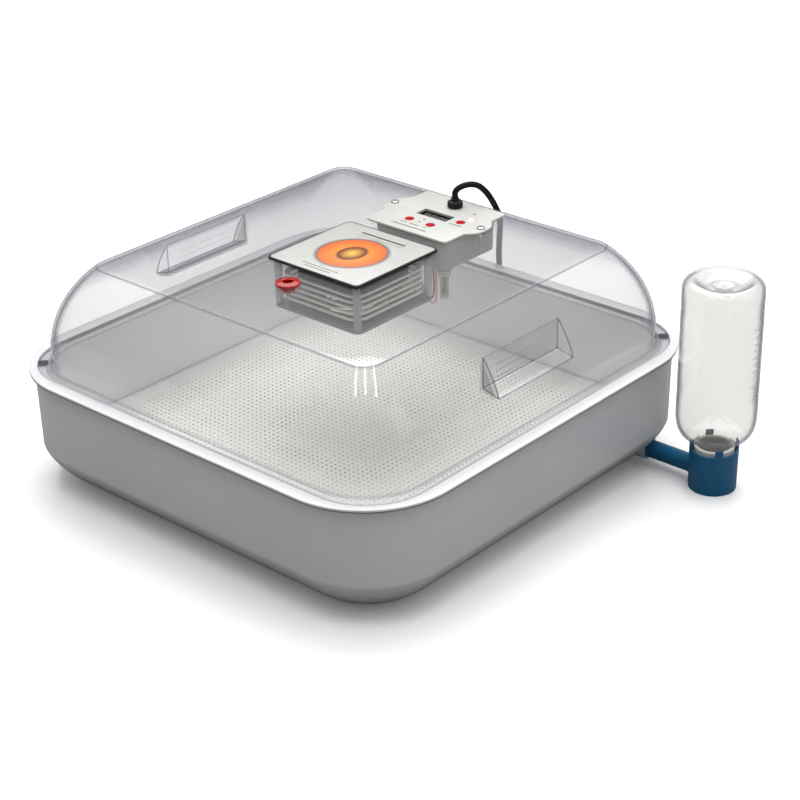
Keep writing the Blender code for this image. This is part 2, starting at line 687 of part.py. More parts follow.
def face_outline():
    """The face plate's outline: a rectangle with round corners and a slanted ear on each long side."""
    corner = 4.5 * MM
    points = []
    corners = ((1, FACE_FRONT, -90), (1, FACE_BACK, 0), (-1, FACE_BACK, 90), (-1, FACE_FRONT, 180))
    ear = [(FACE_HALF, 107.0 * MM), (EAR_REACH - 2.0 * MM, 116.5 * MM), (EAR_REACH, 122.0 * MM),
           (EAR_REACH, 136.0 * MM), (EAR_REACH - 2.0 * MM, 141.5 * MM), (FACE_HALF, 152.0 * MM)]
    for index, (side, y, start) in enumerate(corners):
        middle_x = side * (FACE_HALF - corner)
        middle_y = y + corner if y == FACE_FRONT else y - corner
        for step in range(5):
            angle = math.radians(start + 90 * step / 4)
            points.append((middle_x + corner * math.cos(angle), middle_y + corner * math.sin(angle)))
        if index == 0:
            points += ear
        if index == 2:
            points += [(-x, y_ear) for x, y_ear in reversed(ear)]
    return points


def flat_outline(name, outline, low, high, mat):
    """A filled 2D curve, extruded and made a mesh, so that it can be cut."""
    curve = bpy.data.curves.new(name, "CURVE")
    curve.dimensions = "2D"
    curve.fill_mode = "BOTH"
    curve.extrude = (high - low) / 2
    spline = curve.splines.new("POLY")
    spline.points.add(len(outline) - 1)
    for point, (x, y) in zip(spline.points, outline):
        point.co = (x, y, 0.0, 1.0)
    spline.use_cyclic_u = True
    drawn = bpy.data.objects.new(name, curve)
    PARTS.objects.link(drawn)
    bpy.context.view_layer.update()
    mesh = bpy.data.meshes.new_from_object(drawn.evaluated_get(bpy.context.evaluated_depsgraph_get()))
    bpy.data.objects.remove(drawn, do_unlink=True)
    bm = bmesh.new()
    bm.from_mesh(mesh)
    bmesh.ops.remove_doubles(bm, verts=bm.verts, dist=0.00001)
    bmesh.ops.translate(bm, vec=(0.0, 0.0, (low + high) / 2), verts=bm.verts)
    bpy.data.meshes.remove(mesh)
    return from_bmesh(name, bm, mat)


def control_plate():
    low = DOME_TOP + GAP
    high = low + 2.4 * MM
    plate = flat_outline("control_plate", face_outline(), low, high,
                         material("face_grey", (0.7, 0.69, 0.66), 0.4))
    middle = (low + high) / 2
    width, depth = WINDOW[1] - WINDOW[0], WINDOW[3] - WINDOW[2]
    window_centre = ((WINDOW[0] + WINDOW[1]) / 2, (WINDOW[2] + WINDOW[3]) / 2, middle)
    cut(plate, block("window_hole", (width, depth, 9 * MM), window_centre, None, collection=CUTTERS))
    holes = [(x, y, BUTTON_RADIUS + GAP) for _, x, y in BUTTONS]
    holes += [(*INDICATOR, 4.3 * MM), (*GLAND, 5.4 * MM + GAP)]
    holes += [(side * SCREW_X, SCREW_Y, 2.3 * MM) for side in (1, -1)]
    for number, (x, y, radius) in enumerate(holes):
        hole = cylinder(f"face_hole_{number}", radius, 9 * MM, (x, y, middle), None, steps=20,
                        collection=CUTTERS)
        cut(plate, hole)


def control_box():
    centre = ((BOX_LEFT + BOX_RIGHT) / 2, (BOX_FRONT + BOX_BACK) / 2)
    half_x, half_y = (BOX_RIGHT - BOX_LEFT) / 2, (BOX_BACK - BOX_FRONT) / 2
    wall, top = 2.0 * MM, DOME_TOP

    def level(inset, radius, z, draft=0.0):
        return ring(half_x - inset - draft, radius, z, centre, half_y - inset - draft, steps=5)

    rings = [
        level(1.4 * MM, 8.6 * MM, BOX_BOTTOM, 0.6 * MM), level(0.0, 10 * MM, BOX_BOTTOM + 1.4 * MM, 0.6 * MM),
        level(0.0, 10 * MM, top), level(wall, 8 * MM, top), level(wall, 8 * MM, BOX_BOTTOM + wall, 0.6 * MM),
    ]
    box = loft("control_box", rings, material("box_grey", (0.62, 0.61, 0.58), 0.42))
    spigot = cylinder("sensor_hole", 4.2 * MM, 12 * MM, (*SENSOR, BOX_BOTTOM), None, collection=CUTTERS)
    cut(box, spigot)


def circuit_board():
    centre = ((BOX_LEFT + BOX_RIGHT) / 2, (BOX_FRONT + BOX_BACK) / 2 - 4 * MM, 217.0 * MM)
    block("circuit_board", (80 * MM, 56 * MM, 1.6 * MM), centre,
          material("board_green", (0.02, 0.16, 0.06), 0.45))
    width, depth = WINDOW[1] - WINDOW[0] - 1.0 * MM, WINDOW[3] - WINDOW[2] - 1.0 * MM
    low, high = centre[2] + 0.8 * MM + GAP, DOME_TOP - 0.6 * MM
    middle = ((WINDOW[0] + WINDOW[1]) / 2, (WINDOW[2] + WINDOW[3]) / 2, (low + high) / 2)
    block("display_module", (width, depth, high - low), middle,
          material("display_black", (0.012, 0.012, 0.012), 0.12))


def buttons():
    mat = material("button_red", (0.5, 0.004, 0.004), 0.3)
    top = DOME_TOP + GAP + 2.4 * MM + 0.7 * MM
    seat = DOME_TOP - 0.2 * MM
    profile = [
        (0.0, top), (BUTTON_RADIUS - 0.5 * MM, top), (BUTTON_RADIUS, top - 0.5 * MM), (BUTTON_RADIUS, seat),
        (BUTTON_RADIUS + 1.0 * MM, seat), (BUTTON_RADIUS + 1.0 * MM, seat - 1.2 * MM),
        (2.0 * MM, seat - 1.2 * MM), (2.0 * MM, 221.0 * MM), (0.0, 221.0 * MM),
    ]
    for name, x, y in BUTTONS:
        turned(name, profile, (x, y), mat, steps=16)


def indicator():
    top = DOME_TOP + GAP + 2.4 * MM + 0.4 * MM
    profile = [(0.0, top), (3.2 * MM, top - 0.1 * MM), (4.0 * MM, top - 0.6 * MM),
               (4.0 * MM, DOME_TOP - 2.0 * MM), (0.0, DOME_TOP - 2.0 * MM)]
    turned("indicator_lens", profile, INDICATOR, material("lens_white", (0.9, 0.92, 0.95), 0.2), steps=20)


def ear_screws():
    steel = material("ear_screw_steel", (0.78, 0.79, 0.8), 0.2, 1.0)
    seat = DOME_TOP + GAP + 2.4 * MM + GAP
    profile = [
        (0.0, seat + 1.9 * MM), (2.6 * MM, seat + 1.7 * MM), (4.2 * MM, seat + 0.8 * MM), (4.4 * MM, seat),
        (1.95 * MM, seat), (1.95 * MM, seat - 19 * MM), (0.0, seat - 19 * MM),
    ]
    nut_top = DOME_TOP - DOME_SHELL - GAP
    for side, name in ((-1, "left"), (1, "right")):
        centre = (side * SCREW_X, SCREW_Y)
        screw = turned(f"ear_screw_{name}", profile, centre, steel, steps=16)
        long_arm = (4.6 * MM, 0.9 * MM, 2.0 * MM)
        for number, size in enumerate((long_arm, (long_arm[1], long_arm[0], long_arm[2]))):
            slot = block(f"drive_{name}_{number}", size, (*centre, seat + 2.0 * MM), None,
                         collection=CUTTERS)
            cut(screw, slot)
        nut = cylinder(f"ear_nut_{name}", 3.9 * MM, 3.0 * MM, (*centre, nut_top - 1.5 * MM), steel, steps=6)
        bore = cylinder(f"nut_bore_{name}", 2.05 * MM, 9 * MM, (*centre, nut_top), None, steps=20,
                        collection=CUTTERS)
        cut(nut, bore)


def cord_gland():
    seat = DOME_TOP + GAP + 2.4 * MM + GAP
    exit_z = CORD_EXIT_Z - 2 * GAP
    profile = [
        (0.0, exit_z), (3.8 * MM, exit_z), (4.6 * MM, seat + 6.6 * MM), (7.4 * MM, seat + 6.4 * MM),
        (8.2 * MM, seat + 5.4 * MM), (8.2 * MM, seat + 1.2 * MM), (7.9 * MM, seat), (5.4 * MM, seat),
        (5.4 * MM, DOME_TOP - 3.0 * MM), (5.0 * MM, 211.0 * MM), (0.0, 211.0 * MM),
    ]
    turned("cord_gland", profile, GLAND, material("gland_black", (0.012, 0.012, 0.012), 0.5), steps=20)


def sensor():
    top = BOX_BOTTOM - GAP
    collar = [(0.0, 205.0 * MM), (3.9 * MM, 205.0 * MM), (3.9 * MM, top), (7.4 * MM, top),
              (7.4 * MM, top - 5.6 * MM), (6.6 * MM, top - 6.2 * MM), (0.0, top - 6.2 * MM)]
    turned("sensor_collar", collar, SENSOR, material("collar_cream", (0.66, 0.62, 0.56), 0.45), steps=24)
    high = top - 6.2 * MM - GAP
    low = 164.0 * MM
    guard = [(4.9 * MM, high), (4.7 * MM, low + 1.0 * MM), (4.2 * MM, low), (3.4 * MM, low),
             (3.8 * MM, high)]
    turned("sensor_guard", guard, SENSOR, material("guard_clear", (0.85, 0.82, 0.78), 0.1, alpha=0.4),
           steps=24, loop=True)
    probe = [(0.0, high), (1.0 * MM, high), (1.1 * MM, 176 * MM), (2.0 * MM, 174.5 * MM),
             (2.0 * MM, 169.5 * MM), (0.0, 168 * MM)]
    turned("sensor_probe", probe, SENSOR, material("probe_dark", (0.1, 0.09, 0.09), 0.35), steps=14)


# ---------------------------------------------------------------- water cup and bottle


def water_cup():
    blue = material("cup_blue", (0.01, 0.16, 0.32), 0.35)
    profile = [
        (0.0, 4.0 * MM), (18.2 * MM, 4.0 * MM), (18.2 * MM, CUP_SEAT), (CUP_BORE, CUP_SEAT),
        (CUP_BORE, CUP_HEIGHT), (CUP_RADIUS, CUP_HEIGHT - 0.8 * MM), (CUP_RADIUS - 0.6 * MM, 1.0 * MM),
        (CUP_RADIUS - 1.4 * MM, 0.0), (0.0, 0.0),
    ]
    cup = turned("water_cup", profile, (CUP[0], CUP[1]), blue, steps=32)
    pipe_start = CUP[0] - CUP_BORE - 0.9 * MM
    pipe_middle = (PIPE_END + pipe_start) / 2
    pipe_length = pipe_start - PIPE_END
    pipe = cylinder("pipe_form", PIPE_RADIUS, pipe_length, (pipe_middle, CUP[1], PIPE_HEIGHT), None,
                    axis="X", steps=28, collection=CUTTERS)
    bore = cylinder("pipe_bore", 7.0 * MM, pipe_length + 30 * MM,
                    (pipe_middle - 5 * MM, CUP[1], PIPE_HEIGHT), None, axis="X", steps=24,
                    collection=CUTTERS)
    join(cup, pipe)
    cut(cup, bore)
    for index in range(4):
        angle = math.radians(45 + 90 * index)
        reach = (CUP_RADIUS + CUP_BORE) / 2
        centre = (CUP[0] + reach * math.cos(angle), CUP[1] + reach * math.sin(angle))
        lug = block(f"lug_{index}", (2.0 * MM, 8.0 * MM, LUG_TOP - CUP_SEAT - 4 * MM), (0, 0, 0), None,
                    collection=CUTTERS)
        lug.rotation_euler = (0.0, 0.0, angle)
        lug.location = (*centre, (LUG_TOP + CUP_SEAT + 4 * MM) / 2)
        join(cup, lug)


def bottle_side(inset):
    """The bottle's outline from its base, which is uppermost, down to the mouth."""
    body = BOTTLE_RADIUS - inset
    neck = NECK_RADIUS - inset
    points = [(0.0, BOTTLE_TOP - 9.0 * MM - inset), (6.0 * MM, BOTTLE_TOP - 8.6 * MM - inset),
              (20.0 * MM, BOTTLE_TOP - 5.5 * MM - inset), (28.5 * MM, BOTTLE_TOP - 0.8 * MM - inset)]
    corner = 9.5 * MM
    for step in range(4):
        angle = math.radians(75 - 75 * step / 3)
        points.append((body - corner + corner * math.cos(angle),
                       BOTTLE_TOP - inset - corner + corner * math.sin(angle)))
    shoulder_top, shoulder_low = 86.0 * MM, 55.0 * MM
    for step in range(6):
        angle = math.radians(90 * step / 5)
        points.append((neck + 2 * MM + (body - neck - 2 * MM) * math.cos(angle) ** 0.9,
                       shoulder_top - (shoulder_top - shoulder_low - inset) * math.sin(angle)))
    points += [(neck, 53.0 * MM + inset), (neck, 27.0 * MM)]
    return points


def bottle():
    profile = bottle_side(0.0) + bottle_side(BOTTLE_WALL)[::-1]
    turned("bottle", profile, CUP, material("bottle_clear", (0.9, 0.9, 0.88), 0.05, alpha=0.3), steps=28)
    low, high = CUP_SEAT + GAP, 47.0 * MM
    outer, inner = 20.6 * MM, NECK_RADIUS + GAP
    cap = [
        (inner, high), (outer - 0.8 * MM, high), (outer, high - 0.8 * MM), (outer, low),
        (11.0 * MM, low), (11.0 * MM, low + 1.8 * MM), (inner, low + 1.8 * MM),
    ]
    turned("bottle_cap", cap, CUP, material("cap_white", (0.82, 0.81, 0.77), 0.35), steps=28, loop=True)


# ---------------------------------------------------------------- mains cord


def power_cord():
    black = material("cord_black", (0.012, 0.012, 0.012), 0.45)
    route = smooth_route([Vector(p) * MM for p in CORD_ROUTE_MM], 6.5 * MM)
    tube("power_cord", route, CORD_RADIUS, black, resolution=2)
    top = COIL_BOTTOM + COIL_HEIGHT
    edge = 3.0 * MM
    profile = [
        (COIL_INNER + edge, top), (COIL_OUTER - edge, top), (COIL_OUTER, top - edge),
        (COIL_OUTER, COIL_BOTTOM + edge), (COIL_OUTER - edge, COIL_BOTTOM),
        (COIL_INNER + edge, COIL_BOTTOM), (COIL_INNER, COIL_BOTTOM + edge), (COIL_INNER, top - edge),
    ]
    turned("cord_coil", profile, COIL_CENTRE, material("coil_black", (0.012, 0.012, 0.012), 0.45),
           steps=32, loop=True)


def cord_tie():
    """A strap round one side of the coil: two flat loops, one inside the other."""
    middle = COIL_BOTTOM + COIL_HEIGHT / 2
    half_x = (COIL_OUTER - COIL_INNER) / 2 + GAP
    half_z = COIL_HEIGHT / 2 + GAP
    centre = (COIL_CENTRE[0] - (COIL_INNER + COIL_OUTER) / 2, middle)
    thick, half_width = 0.9 * MM, 3.5 * MM
    rings = []
    for grow, y in ((0.0, -half_width), (thick, -half_width), (thick, half_width), (0.0, half_width)):
        flat = ring(half_x + grow + 0.5 * MM, 3.0 * MM + grow, 0.0, centre, half_z + grow, steps=4)
        rings.append([(x, COIL_CENTRE[1] + y, z) for x, z, _ in flat])
    loft("cord_tie", rings, material("tie_black", (0.03, 0.03, 0.03), 0.6), closed=True)


def mains_plug():
    """A moulded three-pin plug that lies on its side, its tail to the coil and its pins towards -X."""
    black = material("plug_black", (0.014, 0.014, 0.014), 0.5)
    tail_x, middle_y = PLUG_TAIL
    sections = (
        (0.0, 4.1, 4.1, 4.0), (6.0, 4.4, 4.4, 4.2), (16.0, 5.0, 5.2, 4.8), (18.0, 8.0, 9.6, 5.0),
        (22.0, 9.6, 11.6, 5.0), (38.0, 9.8, 11.8, 5.0), (41.0, 9.0, 11.0, 4.4),
    )
    rings = []
    for along, half_y, half_z, radius in sections:
        flat = ring(half_y * MM, radius * MM, 0.0, (middle_y, PLUG_Z), half_z * MM, steps=5)
        rings.append([(tail_x - along * MM, y, z) for y, z, _ in flat])
    loft("plug_body", rings, black)
    face_x = tail_x - 41.3 * MM
    brass = material("pin_brass", (0.78, 0.6, 0.3), 0.25, 1.0)
    for number, side in enumerate((-1, 1), 1):
        centre = (face_x - 8.5 * MM, middle_y + 3.0 * MM, PLUG_Z + side * 6.35 * MM)
        block(f"plug_blade_{number}", (17 * MM, 6.3 * MM, 1.5 * MM), centre, brass, bevel=0.3 * MM)
    cylinder("ground_pin", 2.4 * MM, 20 * MM, (face_x - 10 * MM, middle_y - 5.0 * MM, PLUG_Z), brass,
             axis="X", steps=16)


clear_scene()
PARTS = new_collection("egg_incubator")
CUTTERS = new_collection("cutters")
base_tub()
pipe_seal()
inner_liner()
mesh_floor()
dome_lid()
slot_grommets()
vent_plug()
fan_cover()
housing()
louvre_rings()
tray_screws()
fan()
heater()
heater_leads()
control_plate()
control_box()
circuit_board()
buttons()
indicator()
ear_screws()
cord_gland()
sensor()
water_cup()
bottle()
power_cord()
cord_tie()
mains_plug()
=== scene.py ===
"""Looks of the egg incubator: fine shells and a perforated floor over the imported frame, procedural
plastics, the mains cord at its full length, and a pale studio. Everything is in metres in the frame's
axes: +X is the side with the water cup, -Y the user's side."""

import math

import bmesh
import bpy
from mathutils import Matrix, Vector

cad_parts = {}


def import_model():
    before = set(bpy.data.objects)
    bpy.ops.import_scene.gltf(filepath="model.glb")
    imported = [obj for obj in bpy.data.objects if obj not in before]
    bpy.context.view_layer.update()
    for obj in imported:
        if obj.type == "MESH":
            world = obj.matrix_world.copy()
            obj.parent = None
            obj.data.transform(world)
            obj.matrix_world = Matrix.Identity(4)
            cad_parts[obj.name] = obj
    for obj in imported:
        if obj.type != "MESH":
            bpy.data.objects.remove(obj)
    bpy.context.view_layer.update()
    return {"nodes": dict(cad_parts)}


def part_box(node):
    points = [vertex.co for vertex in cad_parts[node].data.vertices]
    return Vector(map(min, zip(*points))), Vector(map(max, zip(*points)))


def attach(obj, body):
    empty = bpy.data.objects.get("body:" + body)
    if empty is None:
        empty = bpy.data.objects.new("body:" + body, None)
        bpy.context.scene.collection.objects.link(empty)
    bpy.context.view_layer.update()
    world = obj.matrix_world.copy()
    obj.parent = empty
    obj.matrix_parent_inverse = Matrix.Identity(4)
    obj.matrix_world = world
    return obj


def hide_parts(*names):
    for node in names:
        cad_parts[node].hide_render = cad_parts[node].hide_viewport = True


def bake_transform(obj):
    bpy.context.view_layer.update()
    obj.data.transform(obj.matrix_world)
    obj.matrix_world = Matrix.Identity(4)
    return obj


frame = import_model()
MM = 0.001
GAP = 0.3 * MM

# Camera
CAMERA_PLACE = (1.2553, -1.3393, 1.0015)
CAMERA_AZIMUTH = 41.776
CAMERA_ELEVATION = 26.972
CAMERA_ROLL = -1.0915
CAMERA_LENS = 90.16

# Shells, the same driving sizes as the frame's own parts
RIM_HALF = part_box("base_tub")[1].y
RIM_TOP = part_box("base_tub")[1].z
RIM_CORNER = 93.6 * MM
RIM_INNER_HALF = 246.0 * MM
RIM_INNER_CORNER = 66.5 * MM
WALL_TOP_HALF = 254.5 * MM
WALL_LOW_HALF = 252.6 * MM
WALL_CORNER = 87.0 * MM
CURVE_TOP = 44.0 * MM
FOOT_HALF = 208.0 * MM
FOOT_CORNER = 46.0 * MM
CURVE_POWER = 1.35
SHELL = 2.6 * MM
LEDGE_HALF = 241.0 * MM
LEDGE_TOP = 121.9 * MM
LINER_CORNER = 62.0 * MM
SHEET = 2.0 * MM
SHELF_TOP = 32.0 * MM
CHANNELS = ((203.0 * MM, 185.0 * MM), (144.0 * MM, 126.0 * MM), (84.0 * MM, 66.0 * MM))
FLOOR_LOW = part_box("mesh_floor")[0].z
NET_THICK = 0.5 * MM
NET_HALF = 227.0 * MM
NET_CORNER = 48.0 * MM
HOLE_PITCH = 6.2 * MM
HOLE_RADIUS = 1.1 * MM
HOLE_ROWS = 73
DOME_BASE_HALF = 235.0 * MM
DOME_BASE_CORNER = 64.0 * MM
DOME_SPRING = 134.7 * MM
DOME_TOP_HALF = 184.0 * MM
DOME_TOP_CORNER = 18.0 * MM
DOME_TOP = 229.6 * MM
DOME_SHELL = 2.4 * MM
POCKET_BACK = 212.0 * MM
POCKET_OUT = 245.0 * MM
POCKET_HALF_LENGTH = 56.5 * MM
POCKET_FLOOR_BACK = 171.4 * MM
POCKET_FLOOR_OUT = 162.8 * MM
POCKET_RIBS = (176.4 * MM, 183.2 * MM, 190.0 * MM)
SLOT_DIAGONAL = 222.5 * MM
PLATE_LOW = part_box("control_plate")[0].z
PLATE_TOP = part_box("control_plate")[1].z
PAPER = (0.52, 0.52, 0.495)
WINDOW = (-21.0 * MM, 18.8 * MM, 119.7 * MM, 135.8 * MM)
PINHOLE = (28.8 * MM, 154.7 * MM)
PRINT_RISE = 0.03 * MM

# Clear walls
MIRROR_STRAIGHT_ON = 0.04
EDGE_BLUE = 1.12

# Cord
CORD_DIAMETER = 6.5 * MM
CORD_ROUTE_MM = (
    (0, 158, 243.3), (0, 158, 248.6), (2.8, 162.2, 253.4), (8.6, 169.5, 255.8), (14, 178, 253.5),
    (17, 187.5, 244.5), (17.4, 197.5, 231.8), (15.8, 208.5, 216.5), (10.3, 220, 199.7), (0.2, 232, 177.2),
    (-12, 246.5, 152.6), (-24, 261.5, 134.2), (-31, 271, 116), (-37, 276, 90), (-42, 279.5, 58),
    (-47, 283, 28), (-53, 290, 9.5), (-59, 299, 3.8), (-64, 309, 3.4), (-66, 319, 3.4),
)
COIL_TURN_OUTER = 42.6 * MM
COIL_TURN_INNER = 29.4 * MM
COIL_LAYERS = (3.35 * MM, 9.95 * MM)


def middle_of(node):
    low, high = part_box(node)
    return (low + high) / 2


def size_of(node):
    low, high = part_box(node)
    return high - low


def mm_points(z, *points):
    """Radii and heights given in mm, the heights above z."""
    return [(radius * MM, z + rise * MM) for radius, rise in points]


# ---- camera, lights and floor


def camera():
    azimuth, elevation = math.radians(CAMERA_AZIMUTH), math.radians(CAMERA_ELEVATION)
    back = Vector((math.sin(azimuth) * math.cos(elevation), -math.cos(azimuth) * math.cos(elevation),
                   math.sin(elevation)))
    right = (-back).cross(Vector((0, 0, 1))).normalized()
    up = right.cross(-back)
    roll = math.radians(CAMERA_ROLL)
    turned_right = right * math.cos(roll) + up * math.sin(roll)
    turned_up = up * math.cos(roll) - right * math.sin(roll)
    data = bpy.data.cameras.new("camera")
    data.lens = CAMERA_LENS
    data.sensor_width = 36.0
    obj = link("camera", data)
    turn = Matrix((turned_right, turned_up, back)).transposed()
    obj.matrix_world = Matrix.Translation(CAMERA_PLACE) @ turn.to_4x4()
    bpy.context.scene.camera = obj


def area_light(name, size, place, target, power, colour=(1.0, 1.0, 1.0)):
    data = bpy.data.lights.new(name, "AREA")
    data.shape = "RECTANGLE"
    data.size, data.size_y = size
    data.energy = power
    data.color = colour
    obj = link(name, data)
    obj.location = place
    obj.rotation_euler = (Vector(target) - Vector(place)).to_track_quat("-Z", "Y").to_euler()
    return obj


def lights():
    """A broad top light behind the object, and three long lamps that run overhead towards the camera."""
    area_light("top_softbox", (2.6, 2.2), (-0.8, 1.0, 2.3), (0.0, 0.0, 0.1), 50.0)
    area_light("right_softbox", (1.4, 1.4), (2.2, 0.8, 1.2), (0.2, 0.0, 0.1), 4.0, (0.95, 0.98, 1.0))
    across = Vector((math.cos(math.radians(CAMERA_AZIMUTH)), math.sin(math.radians(CAMERA_AZIMUTH)), 0.0))
    for number in range(3):
        place = across * (number - 1) * 0.95 + Vector((0.35, -0.35, 2.5))
        lamp = area_light(f"lamp_{number + 1}", (0.16, 1.9), place, place - Vector((0, 0, 1)), 9.0)
        lamp.rotation_euler = (0.0, 0.0, math.radians(CAMERA_AZIMUTH))


def world():
    """Bright overhead and dim towards the horizon for the object; the camera itself sees plain white."""
    made = bpy.data.worlds.new("studio")
    bpy.context.scene.world = made
    made.use_nodes = True
    tree = made.node_tree
    tree.nodes.clear()
    split = add(tree, "SeparateXYZ", {0: add(tree, "TexCoord").outputs["Generated"]})
    sky = ramp(tree, split.outputs["Z"], ((0.0, (0.07, 0.07, 0.072)), (0.3, (0.24, 0.242, 0.246)),
                                          (1.0, (0.98, 0.985, 0.99))))
    soft = add(tree, "Background", {"Color": sky})
    plain = add(tree, "Background", {"Color": (1, 1, 1, 1)})
    mix = add(tree, "MixShader", {0: add(tree, "LightPath").outputs["Is Camera Ray"],
                                  1: soft.outputs[0], 2: plain.outputs[0]})
    add(tree, "OutputWorld", {0: mix.outputs[0]})


def floor():
    bm = bmesh.new()
    bmesh.ops.create_grid(bm, x_segments=4, y_segments=4, size=9.0)
    bmesh.ops.translate(bm, vec=(0.0, 0.0, -0.1 * MM), verts=bm.verts)
    mesh = bpy.data.meshes.new("studio_floor")
    bm.to_mesh(mesh)
    bm.free()
    mat, shader, tree = new_material("floor_pale", (0.9, 0.9, 0.9), 0.85)
    seen = blend_colours(tree, noise(tree, 3.0, 3.0), (0.98, 0.98, 0.98), (1.0, 1.0, 1.0))
    camera_ray = add(tree, "LightPath").outputs["Is Camera Ray"]
    mix = add(tree, "Mix", {"Factor": camera_ray, "A": (0.24, 0.24, 0.242, 1), "B": seen},
              data_type="RGBA")
    glow = add(tree, "Math", {0: camera_ray, 1: 0.05}, operation="MULTIPLY")
    feed(tree, shader, {"Base Color": mix.outputs["Result"], "Emission Strength": glow.outputs[0],
                        "Emission Color": (1, 1, 1, 1)})
    link("studio_floor", mesh, mat)


# ---- materials


def feed(tree, node, inputs):
    """Give each input a value, or the output that drives it."""
    for socket, value in inputs.items():
        if isinstance(value, bpy.types.NodeSocket):
            tree.links.new(value, node.inputs[socket])
        else:
            node.inputs[socket].default_value = value


def add(tree, kind, inputs=None, **settings):
    made = tree.nodes.new(f"ShaderNode{kind}")
    for name, value in settings.items():
        setattr(made, name, value)
    feed(tree, made, inputs or {})
    return made


def new_material(name, colour, roughness, metallic=0.0):
    mat = bpy.data.materials.new(name)
    mat.use_nodes = True
    tree = mat.node_tree
    shader = tree.nodes["Principled BSDF"]
    feed(tree, shader, {"Base Color": (*colour, 1), "Roughness": roughness, "Metallic": metallic})
    return mat, shader, tree


def noise(tree, scale, detail):
    """A noise value in the piece's own coordinates, with scale in cells per metre."""
    place = add(tree, "TexCoord")
    return add(tree, "TexNoise", {"Vector": place.outputs["Object"], "Scale": scale,
                                  "Detail": detail}).outputs[0]


def ramp(tree, factor, stops):
    """Colours at their places along a factor."""
    made = add(tree, "ValToRGB", {0: factor})
    elements = made.color_ramp.elements
    for index, (position, colour) in ((0, stops[0]), (1, stops[-1])):
        elements[index].position, elements[index].color = position, (*colour, 1)
    for position, colour in stops[1:-1]:
        elements.new(position).color = (*colour, 1)
    return made.outputs[0]


def blend_colours(tree, factor, first, second, low=0.35, high=0.65):
    return ramp(tree, factor, ((low, first), (high, second)))


def spread(tree, factor, low, high):
    """A noise value's usual range stretched over low to high."""
    return add(tree, "MapRange", {0: factor, "From Min": 0.3, "From Max": 0.7, "To Min": low,
                                  "To Max": high}).outputs[0]


def bump(tree, height, strength, distance):
    return add(tree, "Bump", {"Height": height, "Strength": strength, "Distance": distance}).outputs[0]


def plastic(name, colour, roughness, shift=0.04, grain=1500.0, depth=0.05 * MM, strength=0.15,
            coat=0.0, scatter=0.0, specular=0.5):
    """Moulded plastic: a slow drift of colour and gloss, and the mould's fine texture as bump."""
    mat, shader, tree = new_material(name, colour, roughness)
    darker = tuple(c * (1 - shift) for c in colour)
    lighter = tuple(min(1.0, c * (1 + shift)) for c in colour)
    feed(tree, shader, {
        "Base Color": blend_colours(tree, noise(tree, 14.0, 4.0), darker, lighter),
        "Roughness": spread(tree, noise(tree, 45.0, 5.0), roughness * 0.85, roughness * 1.2),
        "Normal": bump(tree, noise(tree, grain, 2.0), strength, depth),
        "Specular IOR Level": specular,
        "Coat Weight": coat,
        "Coat Roughness": 0.08,
    })
    if scatter:
        feed(tree, shader, {"Subsurface Weight": scatter,
                            "Subsurface Radius": (6 * MM, 6 * MM, 5 * MM)})
    return mat


def metal(name, colour, roughness):
    """Bare metal with fine scratches and a slow drift of tone."""
    mat, shader, tree = new_material(name, colour, roughness, 1.0)
    scratches = noise(tree, 900.0, 3.0)
    darker = tuple(c * 0.85 for c in colour)
    feed(tree, shader, {
        "Base Color": blend_colours(tree, noise(tree, 120.0, 3.0), darker, colour),
        "Roughness": spread(tree, scratches, roughness * 0.7, roughness * 1.4),
        "Normal": bump(tree, scratches, 0.1, 0.02 * MM),
    })
    return mat


def clear_plastic(name, tint, haze, haze_colour, waves=0.02, edge=0.35):
    """A clear thin wall: it lets light straight through and less of it the longer the way inside the
    wall, mirrors little straight on and all at a grazing angle, and has a little haze of its own."""
    mat = bpy.data.materials.new(name)
    mat.use_nodes = True
    tree = mat.node_tree
    tree.nodes.clear()
    facing = add(tree, "LayerWeight", {"Blend": 0.5}).outputs["Facing"]
    at_edge = (tint[0] * edge, tint[1] * edge, min(1.0, tint[2] * edge * EDGE_BLUE))
    through = add(tree, "BsdfTransparent", {
        "Color": blend_colours(tree, facing, tint, at_edge, 0.55, 0.97)})
    milk = add(tree, "BsdfDiffuse", {"Color": (*haze_colour, 1)})
    cloud = spread(tree, noise(tree, 9.0, 4.0), haze * 0.8, haze * 1.25)
    body = add(tree, "MixShader", {0: cloud, 1: through.outputs[0], 2: milk.outputs[0]})
    mirror = add(tree, "BsdfGlossy", {
        "Color": (1, 1, 1, 1), "Roughness": 0.03,
        "Normal": bump(tree, noise(tree, 22.0, 2.0), waves, 2 * MM)})
    power = add(tree, "Math", {0: facing, 1: 5.0}, operation="POWER")
    share = add(tree, "Math", {0: power.outputs[0], 1: 1.0 - MIRROR_STRAIGHT_ON, 2: MIRROR_STRAIGHT_ON},
                operation="MULTIPLY_ADD")
    mix = add(tree, "MixShader", {0: share.outputs[0], 1: body.outputs[0], 2: mirror.outputs[0]})
    add(tree, "OutputMaterial", {"Surface": mix.outputs[0]})
    return mat


